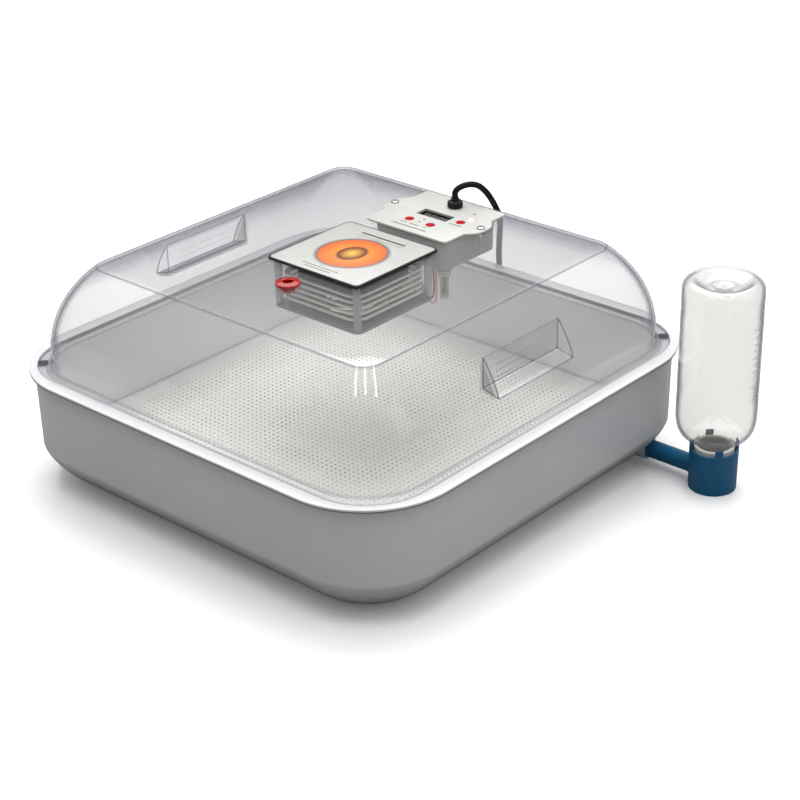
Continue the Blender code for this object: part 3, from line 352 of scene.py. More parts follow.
def label_print():
    """White printed sheet with a round orange patch, a soft dark edge to it and a plain egg inside."""
    mat, shader, tree = new_material("label_sheet", PAPER, 0.32)
    centre = middle_of("cover_label") + Vector((0.8, -2.0, 0.0)) * MM
    place = add(tree, "TexCoord")

    def distance(half_x, half_y):
        mapping = add(tree, "Mapping", {0: place.outputs["Object"], "Location": centre,
                                        "Scale": (half_x * MM, half_y * MM, 1.0)}, vector_type="TEXTURE")
        return add(tree, "VectorMath", {0: mapping.outputs[0]}, operation="LENGTH").outputs["Value"]

    disc, egg = distance(40, 40), distance(17, 21)
    sheet = ramp(tree, disc, (
        (0.0, (0.95, 0.4, 0.06)), (0.45, (0.9, 0.25, 0.03)), (0.84, (0.75, 0.13, 0.02)),
        (0.88, (0.2, 0.12, 0.1)), (0.92, (0.25, 0.23, 0.21)), (1.0, PAPER),
    ))
    shape = ramp(tree, egg, ((0.0, (1, 1, 1)), (0.75, (1, 1, 1)), (1.0, (0, 0, 0))))
    inside = ramp(tree, egg, ((0.0, (0.75, 0.55, 0.1)), (0.45, (0.5, 0.2, 0.02)),
                              (0.75, (0.06, 0.02, 0.01)), (1.0, (0.5, 0.12, 0.01))))
    picture = add(tree, "Mix", {"Factor": shape, "A": sheet, "B": inside}, data_type="RGBA")
    feed(tree, shader, {
        "Base Color": picture.outputs["Result"],
        "Roughness": spread(tree, noise(tree, 60.0, 4.0), 0.26, 0.4),
        "Normal": bump(tree, noise(tree, 500.0, 2.0), 0.05, 0.05 * MM),
    })
    return mat


# ---- mesh helpers


def link(name, data, mat=None):
    obj = bpy.data.objects.new(name, data)
    bpy.context.scene.collection.objects.link(obj)
    if mat is not None:
        data.materials.append(mat)
    return obj


def from_bmesh(name, bm, mat=None, smooth_angle=35.0):
    bmesh.ops.recalc_face_normals(bm, faces=bm.faces)
    mesh = bpy.data.meshes.new(name)
    bm.to_mesh(mesh)
    bm.free()
    mesh.shade_smooth()
    mesh.set_sharp_from_angle(angle=math.radians(smooth_angle))
    return link(name, mesh, mat)


def place(obj, body, slot, *nodes):
    """The piece rides on a body and stands for CAD nodes, which are hidden; the slot is not used."""
    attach(obj, body)
    if nodes:
        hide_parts(*nodes)
    return obj


def ring(half, radius, z, centre=(0.0, 0.0), half_y=None, steps=20):
    half_y = half if half_y is None else half_y
    radius = max(radius, 0.2 * MM)
    points = []
    for index, (side_x, side_y) in enumerate(((1, -1), (1, 1), (-1, 1), (-1, -1))):
        middle_x = centre[0] + side_x * (half - radius)
        middle_y = centre[1] + side_y * (half_y - radius)
        for step in range(steps + 1):
            angle = math.radians(-90 + 90 * index + 90 * step / steps)
            points.append((middle_x + radius * math.cos(angle), middle_y + radius * math.sin(angle), z))
    return points


def loft(name, rings, mat=None, closed=False, smooth_angle=35.0):
    bm = bmesh.new()
    loops = [[bm.verts.new(point) for point in points] for points in rings]
    pairs = list(zip(loops, loops[1:]))
    if closed:
        pairs.append((loops[-1], loops[0]))
    else:
        bm.faces.new(loops[0])
        bm.faces.new(loops[-1])
    for low, high in pairs:
        for i in range(len(low)):
            j = (i + 1) % len(low)
            bm.faces.new((low[i], low[j], high[j], high[i]))
    return from_bmesh(name, bm, mat, smooth_angle)


def rounded_slab(name, half, radius, low, high, mat, centre=(0.0, 0.0), half_y=None, edge=0.4 * MM, steps=8):
    rings = []
    for inset, z in ((edge, low), (0.3 * edge, low + 0.3 * edge), (0.0, low + edge),
                     (0.0, high - edge), (0.3 * edge, high - 0.3 * edge), (edge, high)):
        y = None if half_y is None else half_y - inset
        rings.append(ring(half - inset, radius - inset, z, centre, y, steps))
    return loft(name, rings, mat)


def block(name, size, centre, mat=None, bevel=0.0):
    bm = bmesh.new()
    bmesh.ops.create_cube(bm, size=1.0)
    bmesh.ops.scale(bm, vec=size, verts=bm.verts)
    if bevel:
        bmesh.ops.bevel(bm, geom=bm.edges[:], offset=bevel, segments=2, affect="EDGES", profile=0.5)
    bmesh.ops.translate(bm, vec=centre, verts=bm.verts)
    return from_bmesh(name, bm, mat)


def spun_block(name, size, centre, degrees, mat=None, bevel=0.0):
    """A block turned about the vertical through its own middle."""
    obj = block(name, size, (0.0, 0.0, 0.0), mat, bevel)
    obj.data.transform(Matrix.Translation(centre) @ Matrix.Rotation(math.radians(degrees), 4, "Z"))
    return obj


def around(centre, radius, degrees, z):
    """A place at a distance and direction from a centre."""
    angle = math.radians(degrees)
    return centre[0] + radius * math.cos(angle), centre[1] + radius * math.sin(angle), z


def printed_bars(rows, z):
    """Flat printed bars, each given in mm as its two ends along X, its place along Y and its width."""
    return [block("bar", ((x1 - x0) * MM, wide * MM, 2 * PRINT_RISE),
                  ((x0 + x1) / 2 * MM, y * MM, z + PRINT_RISE)) for x0, x1, y, wide in rows]


def cylinder(name, radius, length, centre, mat=None, axis="Z", steps=48, top_radius=None):
    bm = bmesh.new()
    bmesh.ops.create_cone(
        bm, cap_ends=True, segments=steps, radius1=radius,
        radius2=radius if top_radius is None else top_radius, depth=length,
    )
    if axis == "X":
        turn = Vector((0, 0, 1)).rotation_difference(Vector((1, 0, 0))).to_matrix()
        bmesh.ops.rotate(bm, matrix=turn, verts=bm.verts)
    bmesh.ops.translate(bm, vec=centre, verts=bm.verts)
    return from_bmesh(name, bm, mat)


def turned(name, outline, centre, mat=None, steps=64, loop=False, smooth_angle=32.0):
    """Turn an outline of (radius, z) about the vertical through centre; a zero radius closes an end."""
    bm = bmesh.new()
    rows = []
    for radius, z in outline:
        if radius < 1e-7:
            rows.append([bm.verts.new((centre[0], centre[1], z))])
            continue
        row = []
        for step in range(steps):
            angle = math.tau * step / steps
            row.append(bm.verts.new((centre[0] + radius * math.cos(angle),
                                     centre[1] + radius * math.sin(angle), z)))
        rows.append(row)
    pairs = list(zip(rows, rows[1:]))
    if loop:
        pairs.append((rows[-1], rows[0]))
    for a, b in pairs:
        for i in range(steps):
            j = (i + 1) % steps
            corners = (a[i % len(a)], a[j % len(a)], b[j % len(b)], b[i % len(b)])
            bm.faces.new(list(dict.fromkeys(corners)))
    return from_bmesh(name, bm, mat, smooth_angle)


def rounded(corners, radius, steps=4):
    """A profile with each inner corner rounded by a short curve."""
    points = [corners[0]]
    for before, corner, after in zip(corners, corners[1:], corners[2:]):
        here = Vector(corner)
        to_before, to_after = Vector(before) - here, Vector(after) - here
        reach = min(radius, to_before.length / 2.2, to_after.length / 2.2)
        start, end = here + to_before.normalized() * reach, here + to_after.normalized() * reach
        for step in range(steps + 1):
            t = step / steps
            points.append(tuple(start * (1 - t) ** 2 + here * 2 * t * (1 - t) + end * t**2))
    points.append(corners[-1])
    return points


def prism(name, outline, low, high, mat=None, axis="Z"):
    bm = bmesh.new()
    put = (lambda a, b, c: (a, b, c)) if axis == "Z" else (lambda a, b, c: (a, c, b))
    bottom = [bm.verts.new(put(a, b, low)) for a, b in outline]
    top = [bm.verts.new(put(a, b, high)) for a, b in outline]
    bm.faces.new(bottom)
    bm.faces.new(top)
    for i in range(len(outline)):
        j = (i + 1) % len(outline)
        bm.faces.new((bottom[i], bottom[j], top[j], top[i]))
    return from_bmesh(name, bm, mat)


def gather(name, objects, mat=None):
    """Several objects' meshes as one object."""
    bm = bmesh.new()
    for obj in objects:
        mesh = obj.data.copy()
        mesh.transform(obj.matrix_basis)
        bm.from_mesh(mesh)
        bpy.data.meshes.remove(mesh)
        bpy.data.objects.remove(obj)
    return from_bmesh(name, bm, mat)


def applied(obj):
    """The object's mesh with its modifiers applied."""
    bpy.context.view_layer.update()
    mesh = bpy.data.meshes.new_from_object(obj.evaluated_get(bpy.context.evaluated_depsgraph_get()))
    obj.modifiers.clear()
    obj.data = mesh
    return mesh


def boolean(obj, others, operation, smooth_angle=35.0):
    """Cut or join meshes, applied at once; the other objects are used up."""
    other = gather("tool", others)
    modifier = obj.modifiers.new("tool", "BOOLEAN")
    modifier.operation = operation
    modifier.solver = "EXACT"
    modifier.object = other
    mesh = applied(obj)
    mesh.shade_smooth()
    mesh.set_sharp_from_angle(angle=math.radians(smooth_angle))
    bpy.data.objects.remove(other)


def outline_distance(x, y, half, radius):
    """How far a point lies outside a rounded square; negative inside."""
    dx, dy = abs(x) - (half - radius), abs(y) - (half - radius)
    if dx <= 0 or dy <= 0:
        return max(dx, dy) - radius
    return math.hypot(dx, dy) - radius


def recolour(obj, mat, chosen):
    """Give a second material to the faces whose centres are chosen."""
    obj.data.materials.append(mat)
    for face in obj.data.polygons:
        if chosen(face.center):
            face.material_index = 1


def smooth_line(points, spacing):
    """Points at even spacing along a Catmull-Rom curve through the given points."""
    ends = [points[0] * 2 - points[1], *points, points[-1] * 2 - points[-2]]
    dense = []
    for a, b, c, d in zip(ends, ends[1:], ends[2:], ends[3:]):
        for step in range(24):
            t = step / 24
            dense.append(0.5 * (2 * b + (c - a) * t + (2 * a - 5 * b + 4 * c - d) * t**2
                                + (3 * b - a - 3 * c + d) * t**3))
    dense.append(points[-1])
    total = sum((q - p).length for p, q in zip(dense, dense[1:]))
    count = max(2, round(total / spacing))
    line, walked, target = [dense[0]], 0.0, total / count
    for p, q in zip(dense, dense[1:]):
        length = (q - p).length
        while walked + length >= target - 1e-9 and len(line) < count:
            line.append(p.lerp(q, (target - walked) / length))
            target += total / count
        walked += length
    line.append(dense[-1])
    return line


def tube(name, line, radius, mat=None, sides=16):
    """A round tube along a line, with a frame carried along it so that it doesn't twist."""
    bm = bmesh.new()
    rings = []
    side = Vector((1, 0, 0))
    for index, point in enumerate(line):
        ahead = (line[min(index + 1, len(line) - 1)] - line[max(index - 1, 0)]).normalized()
        side = (side - ahead * side.dot(ahead)).normalized()
        up = ahead.cross(side)
        rings.append([
            bm.verts.new(point + radius * (side * math.cos(math.tau * k / sides)
                                           + up * math.sin(math.tau * k / sides)))
            for k in range(sides)
        ])
    bm.faces.new(rings[0])
    bm.faces.new(rings[-1])
    for a, b in zip(rings, rings[1:]):
        for k in range(sides):
            bm.faces.new((a[k], a[(k + 1) % sides], b[(k + 1) % sides], b[k]))
    return from_bmesh(name, bm, mat, 40.0)


# ---- tub, liner and floor


def tub_lower_ring(angle, inset):
    along = math.cos(math.radians(angle)) ** (2 / CURVE_POWER)
    down = math.sin(math.radians(angle)) ** (2 / CURVE_POWER)
    half = FOOT_HALF + (WALL_LOW_HALF - FOOT_HALF) * along - inset
    radius = FOOT_CORNER + (WALL_CORNER - 2 * MM - FOOT_CORNER) * along - inset
    return ring(half, radius, inset + (CURVE_TOP - inset) * (1 - down))


def tub():
    angles = [90 * i / 28 for i in range(29)]
    lip_low = RIM_TOP - 3.4 * MM
    rings = [tub_lower_ring(a, 0.0) for a in reversed(angles)]
    rings += [ring(WALL_TOP_HALF - 0.4 * MM, WALL_CORNER, lip_low - 1.2 * MM),
              ring(WALL_TOP_HALF + 0.8 * MM, WALL_CORNER + 1.0 * MM, lip_low)]
    for inset, drop in ((0.5, 3.4), (0.1, 3.25), (0.0, 3.0), (0.0, 2.1), (0.0, 0.8), (0.2, 0.25), (0.8, 0.0)):
        rings.append(ring(RIM_HALF - inset * MM, RIM_CORNER - inset * MM, RIM_TOP - drop * MM))
    rings += [
        ring(RIM_INNER_HALF + 0.8 * MM, RIM_INNER_CORNER + 0.4 * MM, RIM_TOP),
        ring(RIM_INNER_HALF + 0.2 * MM, RIM_INNER_CORNER + 0.1 * MM, RIM_TOP - 0.25 * MM),
        ring(RIM_INNER_HALF, RIM_INNER_CORNER, RIM_TOP - 0.8 * MM),
        ring(RIM_INNER_HALF, RIM_INNER_CORNER, LEDGE_TOP),
        ring(LEDGE_HALF, LINER_CORNER + 1.0 * MM, LEDGE_TOP),
        ring(LEDGE_HALF, LINER_CORNER + 1.0 * MM, LEDGE_TOP - 2.4 * MM),
        ring(WALL_TOP_HALF - SHELL, WALL_CORNER - SHELL, LEDGE_TOP - 6.0 * MM),
    ]
    rings += [tub_lower_ring(a, SHELL) for a in angles]
    body = loft("tub_shell", rings,
                plastic("tub_abs", (0.74, 0.74, 0.755), 0.13, shift=0.015, strength=0.04))
    seal = middle_of("pipe_seal")
    boss_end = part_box("pipe_seal")[1].x - 1.0 * MM
    boss = cylinder("boss", 12.8 * MM, 22.0 * MM, (boss_end - 11.0 * MM, seal.y, seal.z), axis="X",
                    top_radius=12.0 * MM)
    bore = cylinder("bore", 10.9 * MM, 80.0 * MM, (boss_end - 20.0 * MM, seal.y, seal.z), axis="X")
    boolean(body, [boss], "UNION")
    boolean(body, [bore], "DIFFERENCE")
    # Painted shade: a dark band on the lower outer side of the rim lip stands in for the shadow under the
    # lip's overhang
    painted_lip_shade = plastic("tub_painted_lip_shade", (0.16, 0.145, 0.13), 0.6, shift=0.1, grain=700.0, strength=0.3)
    recolour(body, painted_lip_shade, lambda point: -3.5 * MM < point.z - RIM_TOP < -2.0 * MM
             and outline_distance(point.x, point.y, RIM_HALF, RIM_CORNER) > -0.7 * MM)
    place(body, "base", "tub_white", "base_tub")


def liner_rings(offset):
    rings = []
    top, bottom = SHELF_TOP - offset, 5.2 * MM - offset
    for outer, inner in reversed(CHANNELS):
        rings += [
            ring(inner - 1.2 * MM - offset, 22.8 * MM - offset, top),
            ring(inner - 0.3 * MM - offset, 23.7 * MM - offset, top - 0.8 * MM),
            ring(inner + 1.0 * MM - offset, 25.0 * MM - offset, bottom),
            ring(outer - 1.0 * MM + offset, 41.0 * MM + offset, bottom),
            ring(outer + 0.3 * MM + offset, 42.3 * MM + offset, top - 0.8 * MM),
            ring(outer + 1.2 * MM + offset, 43.2 * MM + offset, top),
        ]
    for reach, corner, rise in ((-6.0, -8.0, 0.0), (-2.5, -5.2, 0.7), (-0.8, -3.8, 2.4), (0.0, -3.0, 5.5)):
        rings.append(ring(237.5 * MM + reach * MM + offset, (LINER_CORNER + corner * MM) + offset,
                          top + rise * MM))
    return rings


def liner():
    low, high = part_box("inner_liner")[1].z - SHEET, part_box("inner_liner")[1].z
    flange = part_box("inner_liner")[1].x
    edge = [
        ring(240.0 * MM, LINER_CORNER, low),
        ring(flange, RIM_INNER_CORNER - GAP, low),
        ring(flange, RIM_INNER_CORNER - GAP, high - 0.4 * MM),
        ring(flange - 0.4 * MM, RIM_INNER_CORNER - 0.7 * MM, high),
        ring(239.4 * MM, LINER_CORNER - 1.0 * MM, high),
        ring(238.0 * MM, LINER_CORNER - 2.0 * MM, high - 1.4 * MM),
    ]
    body = loft("liner_shell", liner_rings(SHEET) + edge + liner_rings(0.0)[::-1],
                plastic("liner_polystyrene", (0.85, 0.86, 0.88), 0.16, shift=0.02, grain=600.0,
                        strength=0.05))
    cup = middle_of("water_cup")
    inlet = cylinder("inlet", 9.8 * MM, 16.0 * MM, (205.0 * MM, cup.y, middle_of("pipe_seal").z), axis="X")
    boolean(body, [inlet], "DIFFERENCE")
    place(body, "base", "liner_white", "inner_liner")


def perforated_sheet():
    """The floor's net: a grid of square cells, each with a round hole right through it."""
    bm = bmesh.new()
    heights = (FLOOR_LOW, FLOOR_LOW + NET_THICK)
    square = ((1, 0), (1, 1), (-1, 1), (-1, 0), (-1, -1), (1, -1))
    sides = len(square)
    made, places = {}, {}

    def corner(key, level):
        if (key, level) not in made:
            vertex = bm.verts.new((key[0] * HOLE_PITCH / 2, key[1] * HOLE_PITCH / 2, heights[level]))
            made[key, level] = vertex
            places[vertex] = (key, level)
        return made[key, level]

    reach = HOLE_ROWS // 2
    for i in range(-reach, reach + 1):
        for j in range(-reach, reach + 1):
            x, y = i * HOLE_PITCH, j * HOLE_PITCH
            outside = outline_distance(abs(x) + HOLE_PITCH / 2, abs(y) + HOLE_PITCH / 2, NET_HALF, NET_CORNER)
            if outside > 0:
                continue
            walls = []
            for level, z in enumerate(heights):
                outer = [corner((2 * i + a, 2 * j + b), level) for a, b in square]
                inner = []
                for step in range(sides):
                    angle = math.tau * step / sides
                    inner.append(bm.verts.new((x + HOLE_RADIUS * math.cos(angle),
                                               y + HOLE_RADIUS * math.sin(angle), z)))
                for step in range(sides):
                    after = (step + 1) % sides
                    bm.faces.new((outer[step], outer[after], inner[after], inner[step]))
                walls.append(inner)
            for step in range(sides):
                after = (step + 1) % sides
                bm.faces.new((walls[0][step], walls[0][after], walls[1][after], walls[1][step]))
    for edge in [edge for edge in bm.edges if edge.is_boundary]:
        (first, level), (second, _) = (places[vertex] for vertex in edge.verts)
        if level:
            bm.faces.new((corner(first, 1), corner(second, 1), corner(second, 0), corner(first, 0)))
    return from_bmesh("floor_net", bm, plastic("net_cream", (0.92, 0.915, 0.87), 0.42, shift=0.03,
                                               grain=350.0, strength=0.12))


def mesh_floor():
    net = perforated_sheet()
    place(net, "mesh_floor", "floor_cream")
    cream = plastic("border_cream", (0.9, 0.9, 0.87), 0.32, shift=0.02, grain=500.0, strength=0.08)
    section = ((221.0, 32.9), (222.0, 33.4), (229.0, 34.2), (232.5, 35.2), (234.6, 37.0), (235.0, 38.6),
               (236.0, 38.6), (235.6, 36.0), (233.4, 33.5), (229.0, 32.6), (221.0, 32.5))
    rings = [ring(half * MM, (half - 178.0) * MM, z * MM) for half, z in section]
    border = loft("floor_border", rings, cream, closed=True)
    place(border, "mesh_floor", "floor_cream", "mesh_floor")


# ---- dome


def dome_half_at(z):
    rise = (z - DOME_SPRING) / (DOME_TOP - DOME_SPRING)
    up = min(1.0, rise ** (1 / 0.88))
    return DOME_TOP_HALF + (DOME_BASE_HALF - DOME_TOP_HALF) * math.sqrt(1 - up * up) ** 1.9


def dome_rings(inset):
    rings = []
    top = DOME_TOP - inset
    count = 36
    for step in range(count):
        angle = math.pi / 2 * step / count
        along = math.cos(angle) ** 1.9
        z = DOME_SPRING + (top - DOME_SPRING) * math.sin(angle) ** 0.88
        half = DOME_TOP_HALF + (DOME_BASE_HALF - DOME_TOP_HALF) * along - inset * (0.7 + 0.3 * along)
        radius = DOME_TOP_CORNER + (DOME_BASE_CORNER - DOME_TOP_CORNER) * along - inset
        rings.append(ring(half, radius, z, steps=24))
    top_half = DOME_TOP_HALF - 0.7 * inset
    for reach, drop in ((0.6, 0.9), (0.35, 0.45), (-0.2, 0.12), (-1.0, 0.0)):
        rings.append(ring(top_half + reach * MM, DOME_TOP_CORNER - inset, top - drop * MM, steps=24))
    return rings


def pocket_form(side):
    back, low, high = POCKET_BACK - 2.2 * MM, 164.6 * MM, 202.6 * MM
    outline = [(back, 169.0 * MM)]
    for step in range(15):
        z = low + (high - low) * step / 14
        outline.append((dome_half_at(z) - 1.1 * MM, z))
    length = POCKET_HALF_LENGTH + 2.2 * MM
    return prism("pocket_form", [(side * x, z) for x, z in outline], -length, length, axis="Y")


def pocket_space(side):
    outline = [(POCKET_BACK, POCKET_FLOOR_BACK), (POCKET_OUT, POCKET_FLOOR_OUT), (POCKET_OUT, 218.0 * MM),
               (POCKET_BACK, 218.0 * MM)]
    length = POCKET_HALF_LENGTH
    return prism("pocket_space", [(side * x, z) for x, z in outline], -length, length, axis="Y")


def crossing(difference, low, high):
    """Where a rising difference passes zero."""
    for _ in range(30):
        middle = (low + high) / 2
        if difference(middle) < 0:
            low = middle
        else:
            high = middle
    return (low + high) / 2


def pocket_folds(side):
    """Thin rounds along the edges of a hand pocket."""
    def beyond_floor(z):
        slope = (POCKET_OUT - POCKET_BACK) / (POCKET_FLOOR_BACK - POCKET_FLOOR_OUT)
        return dome_half_at(z) - POCKET_BACK - slope * (POCKET_FLOOR_BACK - z)

    low = crossing(beyond_floor, POCKET_FLOOR_OUT, POCKET_FLOOR_BACK)
    high = crossing(lambda z: POCKET_BACK - dome_half_at(z), POCKET_FLOOR_BACK, 220.0 * MM)
    heights = [low + (high - low) * step / 12 for step in range(13)]
    mouth = [(dome_half_at(z), z) for z in heights]
    corner = (POCKET_BACK, POCKET_FLOOR_BACK)
    made = []
    for y in (-POCKET_HALF_LENGTH, POCKET_HALF_LENGTH):
        for path in (mouth, [mouth[-1], corner], [corner, mouth[0]]):
            line = [Vector((side * x, y, z)) for x, z in path]
            made.append(tube("fold", line, 0.75 * MM, sides=8))
    for x, z in (mouth[0], corner, mouth[-1]):
        ends = [Vector((side * x, y, z)) for y in (-POCKET_HALF_LENGTH, POCKET_HALF_LENGTH)]
        made.append(tube("fold", ends, 0.6 * MM, sides=8))
    return made


def dome():
    flange_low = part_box("dome_lid")[0].z
    flange_top = flange_low + 2.8 * MM
    half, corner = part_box("dome_lid")[1].x, RIM_INNER_CORNER - 0.5 * MM

    def level(reach, radius, z):
        return ring(reach, radius, z, steps=24)

    flange = [
        level(DOME_BASE_HALF - DOME_SHELL, DOME_BASE_CORNER - DOME_SHELL, flange_low),
        level(half - 0.3 * MM, corner - 0.3 * MM, flange_low),
        level(half, corner, flange_low + 0.4 * MM),
        level(half, corner, flange_top - 0.6 * MM),
        level(half - 0.6 * MM, corner - 0.6 * MM, flange_top),
    ]
    for reach, radius, rise in ((3.2, 1.4, 0.0), (1.6, 0.9, 0.5), (0.6, 0.4, 2.0)):
        flange.append(level(DOME_BASE_HALF + reach * MM, DOME_BASE_CORNER + radius * MM,
                            flange_top + rise * MM))
    clear = clear_plastic("dome_polycarbonate", (0.908, 0.908, 0.907), 0.035, (0.88, 0.88, 0.885), edge=0.6)
    shell = loft("dome_shell", dome_rings(DOME_SHELL)[::-1] + flange + dome_rings(0.0), clear,
                 smooth_angle=30.0)
    boolean(shell, [pocket_form(1), pocket_form(-1)], "UNION")
    box, size = middle_of("control_box"), size_of("control_box")
    levels = (DOME_TOP - 8 * MM, DOME_TOP + 8 * MM)
    tools = [
        pocket_space(1), pocket_space(-1),
        loft("box_hole", [ring(size.x / 2 + GAP, 10.3 * MM, z, box, size.y / 2 + GAP, steps=8)
                          for z in levels]),
        loft("fan_hole", [ring(46 * MM, 8 * MM, z, steps=8) for z in levels]),
    ]
    for node, radius in (("vent_plug", 7.4), ("ear_screw_left", 2.3), ("ear_screw_right", 2.3)):
        tools.append(cylinder("hole", radius * MM, 16 * MM, (*middle_of(node).xy, DOME_TOP)))
    for side in (1, -1):
        tools.append(spun_block("slot", (10.4 * MM, 7.4 * MM, 12 * MM),
                                (side * SLOT_DIAGONAL, side * SLOT_DIAGONAL, flange_low), 45))
    boolean(shell, tools, "DIFFERENCE")
    ribs = [block("rib", (2.6 * MM, 76 * MM, 2 * MM), (side * POCKET_BACK, 0, z), bevel=0.6 * MM)
            for side in (1, -1) for z in POCKET_RIBS]
    boolean(shell, ribs, "UNION", 30.0)

    def at_fold(point):
        top = outline_distance(point.x, point.y, DOME_TOP_HALF, DOME_TOP_CORNER) > -1.3 * MM
        rim = outline_distance(point.x, point.y, half, corner) > -0.5 * MM
        return (top and point.z > DOME_TOP - 1.3 * MM) or (0 < point.z - flange_top < 2.2 * MM) or rim

    # Where the sheet bends sharply it throws the light aside, so it looks darker
    fold = clear_plastic("dome_fold", (0.73, 0.735, 0.765), 0.08, (0.75, 0.77, 0.83), edge=0.5)
    recolour(shell, fold, at_fold)
    place(shell, "lid", "dome_clear", "dome_lid")
    place(gather("pocket_folds", [*pocket_folds(1), *pocket_folds(-1)], fold), "lid", "dome_clear")


def grommets():
    black = plastic("grommet_rubber", (0.015, 0.015, 0.028), 0.5, shift=0.1, strength=0.2)
    for side, node in ((-1, "slot_grommet_left"), (1, "slot_grommet_right")):
        at = (side * SLOT_DIAGONAL, side * SLOT_DIAGONAL, middle_of(node).z)
        piece = spun_block(f"{node}_rubber", (9.8 * MM, 6.8 * MM, 3.2 * MM), at, 45, black, 0.9 * MM)
        place(piece, "lid", "grommet_black", node)


# ---- fan heater


def fan_cover():
    low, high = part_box("fan_cover")
    black = plastic("cover_acrylic", (0.01, 0.01, 0.011), 0.5, shift=0.1, strength=0.08, specular=0.2)
    place(rounded_slab("cover_plate", high.x, 5.2 * MM, low.z, high.z, black), "lid", "cover_black",
          "fan_cover")
    low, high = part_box("cover_label")
    sheet = rounded_slab("cover_sheet", high.x - 0.4 * MM, 4.4 * MM, low.z, high.z, label_print(),
                         edge=0.1 * MM)
    place(sheet, "lid", "label_white", "cover_label")
    bars = printed_bars(((-28, 30, 44.6, 2.6), (-28, 30, 38.6, 0.5), (-24, 24, -47.2, 1.0),
                         (-17, 17, -52.0, 1.0)), high.z)
    ink = plastic("label_ink", (0.03, 0.03, 0.03), 0.4, shift=0.1)
    place(gather("label_bars", bars, ink), "lid", "label_white")


def housing():
    grey = plastic("housing_smoke", (0.2, 0.205, 0.205), 0.2, shift=0.05, coat=0.2, strength=0.05)
    smoke = clear_plastic("post_smoke", (0.78, 0.785, 0.78), 0.38, (0.6, 0.605, 0.595))
    for number in range(1, 5):
        node = f"corner_post_{number}"
        low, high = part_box(node)
        post = rounded_slab(f"post_{number}", size_of(node).x / 2, 2.2 * MM, low.z, high.z, smoke,
                            middle_of(node), edge=0.3 * MM)
        place(post, "lid", "post_grey", node)
    low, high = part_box("bottom_tray")
    tray = rounded_slab("tray_plate", high.x, 8 * MM, low.z, high.z, grey, edge=0.9 * MM)
    boolean(tray, [cylinder("inlet", 34 * MM, 20 * MM, (0, 0, low.z))], "DIFFERENCE")
    place(tray, "lid", "tray_grey", "bottom_tray")
    guard = []
    at = (0, 0, low.z + 1.5 * MM)
    for radius in (26 * MM, 14 * MM):
        hoop = cylinder("hoop", radius, 1.2 * MM, at)
        boolean(hoop, [cylinder("eye", radius - 1.4 * MM, 9 * MM, (0, 0, low.z))], "DIFFERENCE")
        guard.append(hoop)
    guard += [spun_block("spoke", (69 * MM, 1.6 * MM, 1.0 * MM), at, turn) for turn in (45, 135)]
    place(gather("tray_guard", guard, grey), "lid", "tray_grey")


def louvres():
    cream = plastic("louvre_abs", (0.8, 0.79, 0.7), 0.36, shift=0.03, strength=0.08)
    for number in range(1, 6):
        node = f"louvre_ring_{number}"
        low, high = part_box(node)
        outer, middle = high.x, (low.z + high.z) / 2
        section = ((0.0, -0.9), (0.0, 0.9), (-0.4, 1.3), (-1.2, 1.3), (-5.5, -0.7), (-5.5, -1.9),
                   (-1.2, -1.35), (-0.4, -1.3))
        rings = [ring(outer + reach * MM, (16.0 + reach) * MM, middle + rise * MM, steps=10)
                 for reach, rise in section]
        place(loft(f"louvre_{number}", rings, cream, closed=True), "lid", "louvre_cream", node)


def fan():
    black = plastic("fan_black", (0.022, 0.022, 0.024), 0.35, shift=0.12)
    low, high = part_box("fan_frame")
    body = rounded_slab("fan_case", high.x, 4 * MM, low.z, high.z, black, edge=0.8 * MM)
    tools = [cylinder("bore", 38 * MM, 60 * MM, (0, 0, low.z), steps=72)]
    for side_x, side_y in ((1, 1), (1, -1), (-1, 1), (-1, -1)):
        tools.append(cylinder("corner_hole", 2.2 * MM, 60 * MM,
                              (side_x * 35.5 * MM, side_y * 35.5 * MM, low.z)))
    boolean(body, tools, "DIFFERENCE")
    place(body, "lid", "fan_black", "fan_frame")
    mount = (0, 0, high.z - 1.2 * MM)
    struts = [spun_block("strut", (64 * MM, 3 * MM, 1.6 * MM), mount, turn) for turn in (30, 120)]
    motor = cylinder("motor", 17 * MM, 1.8 * MM, mount)
    place(gather("fan_struts", [*struts, motor], black), "lid", "fan_black")
    low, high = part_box("fan_rotor")
    hub = turned("rotor_hub", rounded([(0.0, high.z), (15.9 * MM, high.z), (15.9 * MM, low.z), (0.0, low.z)],
                                      1.5 * MM), (0.0, 0.0))
    blades = []
    for number in range(7):
        bm = bmesh.new()
        bmesh.ops.create_grid(bm, x_segments=10, y_segments=8, size=0.5)
        for vertex in bm.verts:
            along, across = vertex.co.x + 0.5, vertex.co.y
            radius = (15.0 + 22.0 * along) * MM
            pitch = math.radians(48 - 18 * along)
            width = (13.0 + 5.0 * along) * MM * across
            swing = math.tau * number / 7 + width * math.cos(pitch) / radius + 0.12 * along
            vertex.co = (radius * math.cos(swing), radius * math.sin(swing),
                         (low.z + high.z) / 2 + width * math.sin(pitch))
        blade = from_bmesh("blade", bm)
        thick = blade.modifiers.new("thick", "SOLIDIFY")
        thick.thickness = 1.3 * MM
        thick.offset = 0.0
        applied(blade)
        blades.append(blade)
    rotor = gather("fan_blades", [hub, *blades],
                   plastic("rotor_black", (0.028, 0.028, 0.031), 0.32, shift=0.12))
    place(rotor, "fan_rotor", "rotor_black", "fan_rotor")


def heater():
    low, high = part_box("heater_ring")
    thick = (high.z - low.z) / 2
    middle, radius = low.z + thick, high.x - thick
    outline = [(radius + thick * math.cos(-math.tau * k / 16), middle + thick * math.sin(-math.tau * k / 16))
               for k in range(16)]
    steel = metal("heater_steel", (0.42, 0.38, 0.34), 0.35)
    place(turned("heater_element", outline, (0.0, 0.0), steel, steps=96, loop=True), "lid", "heater_steel",
          "heater_ring")


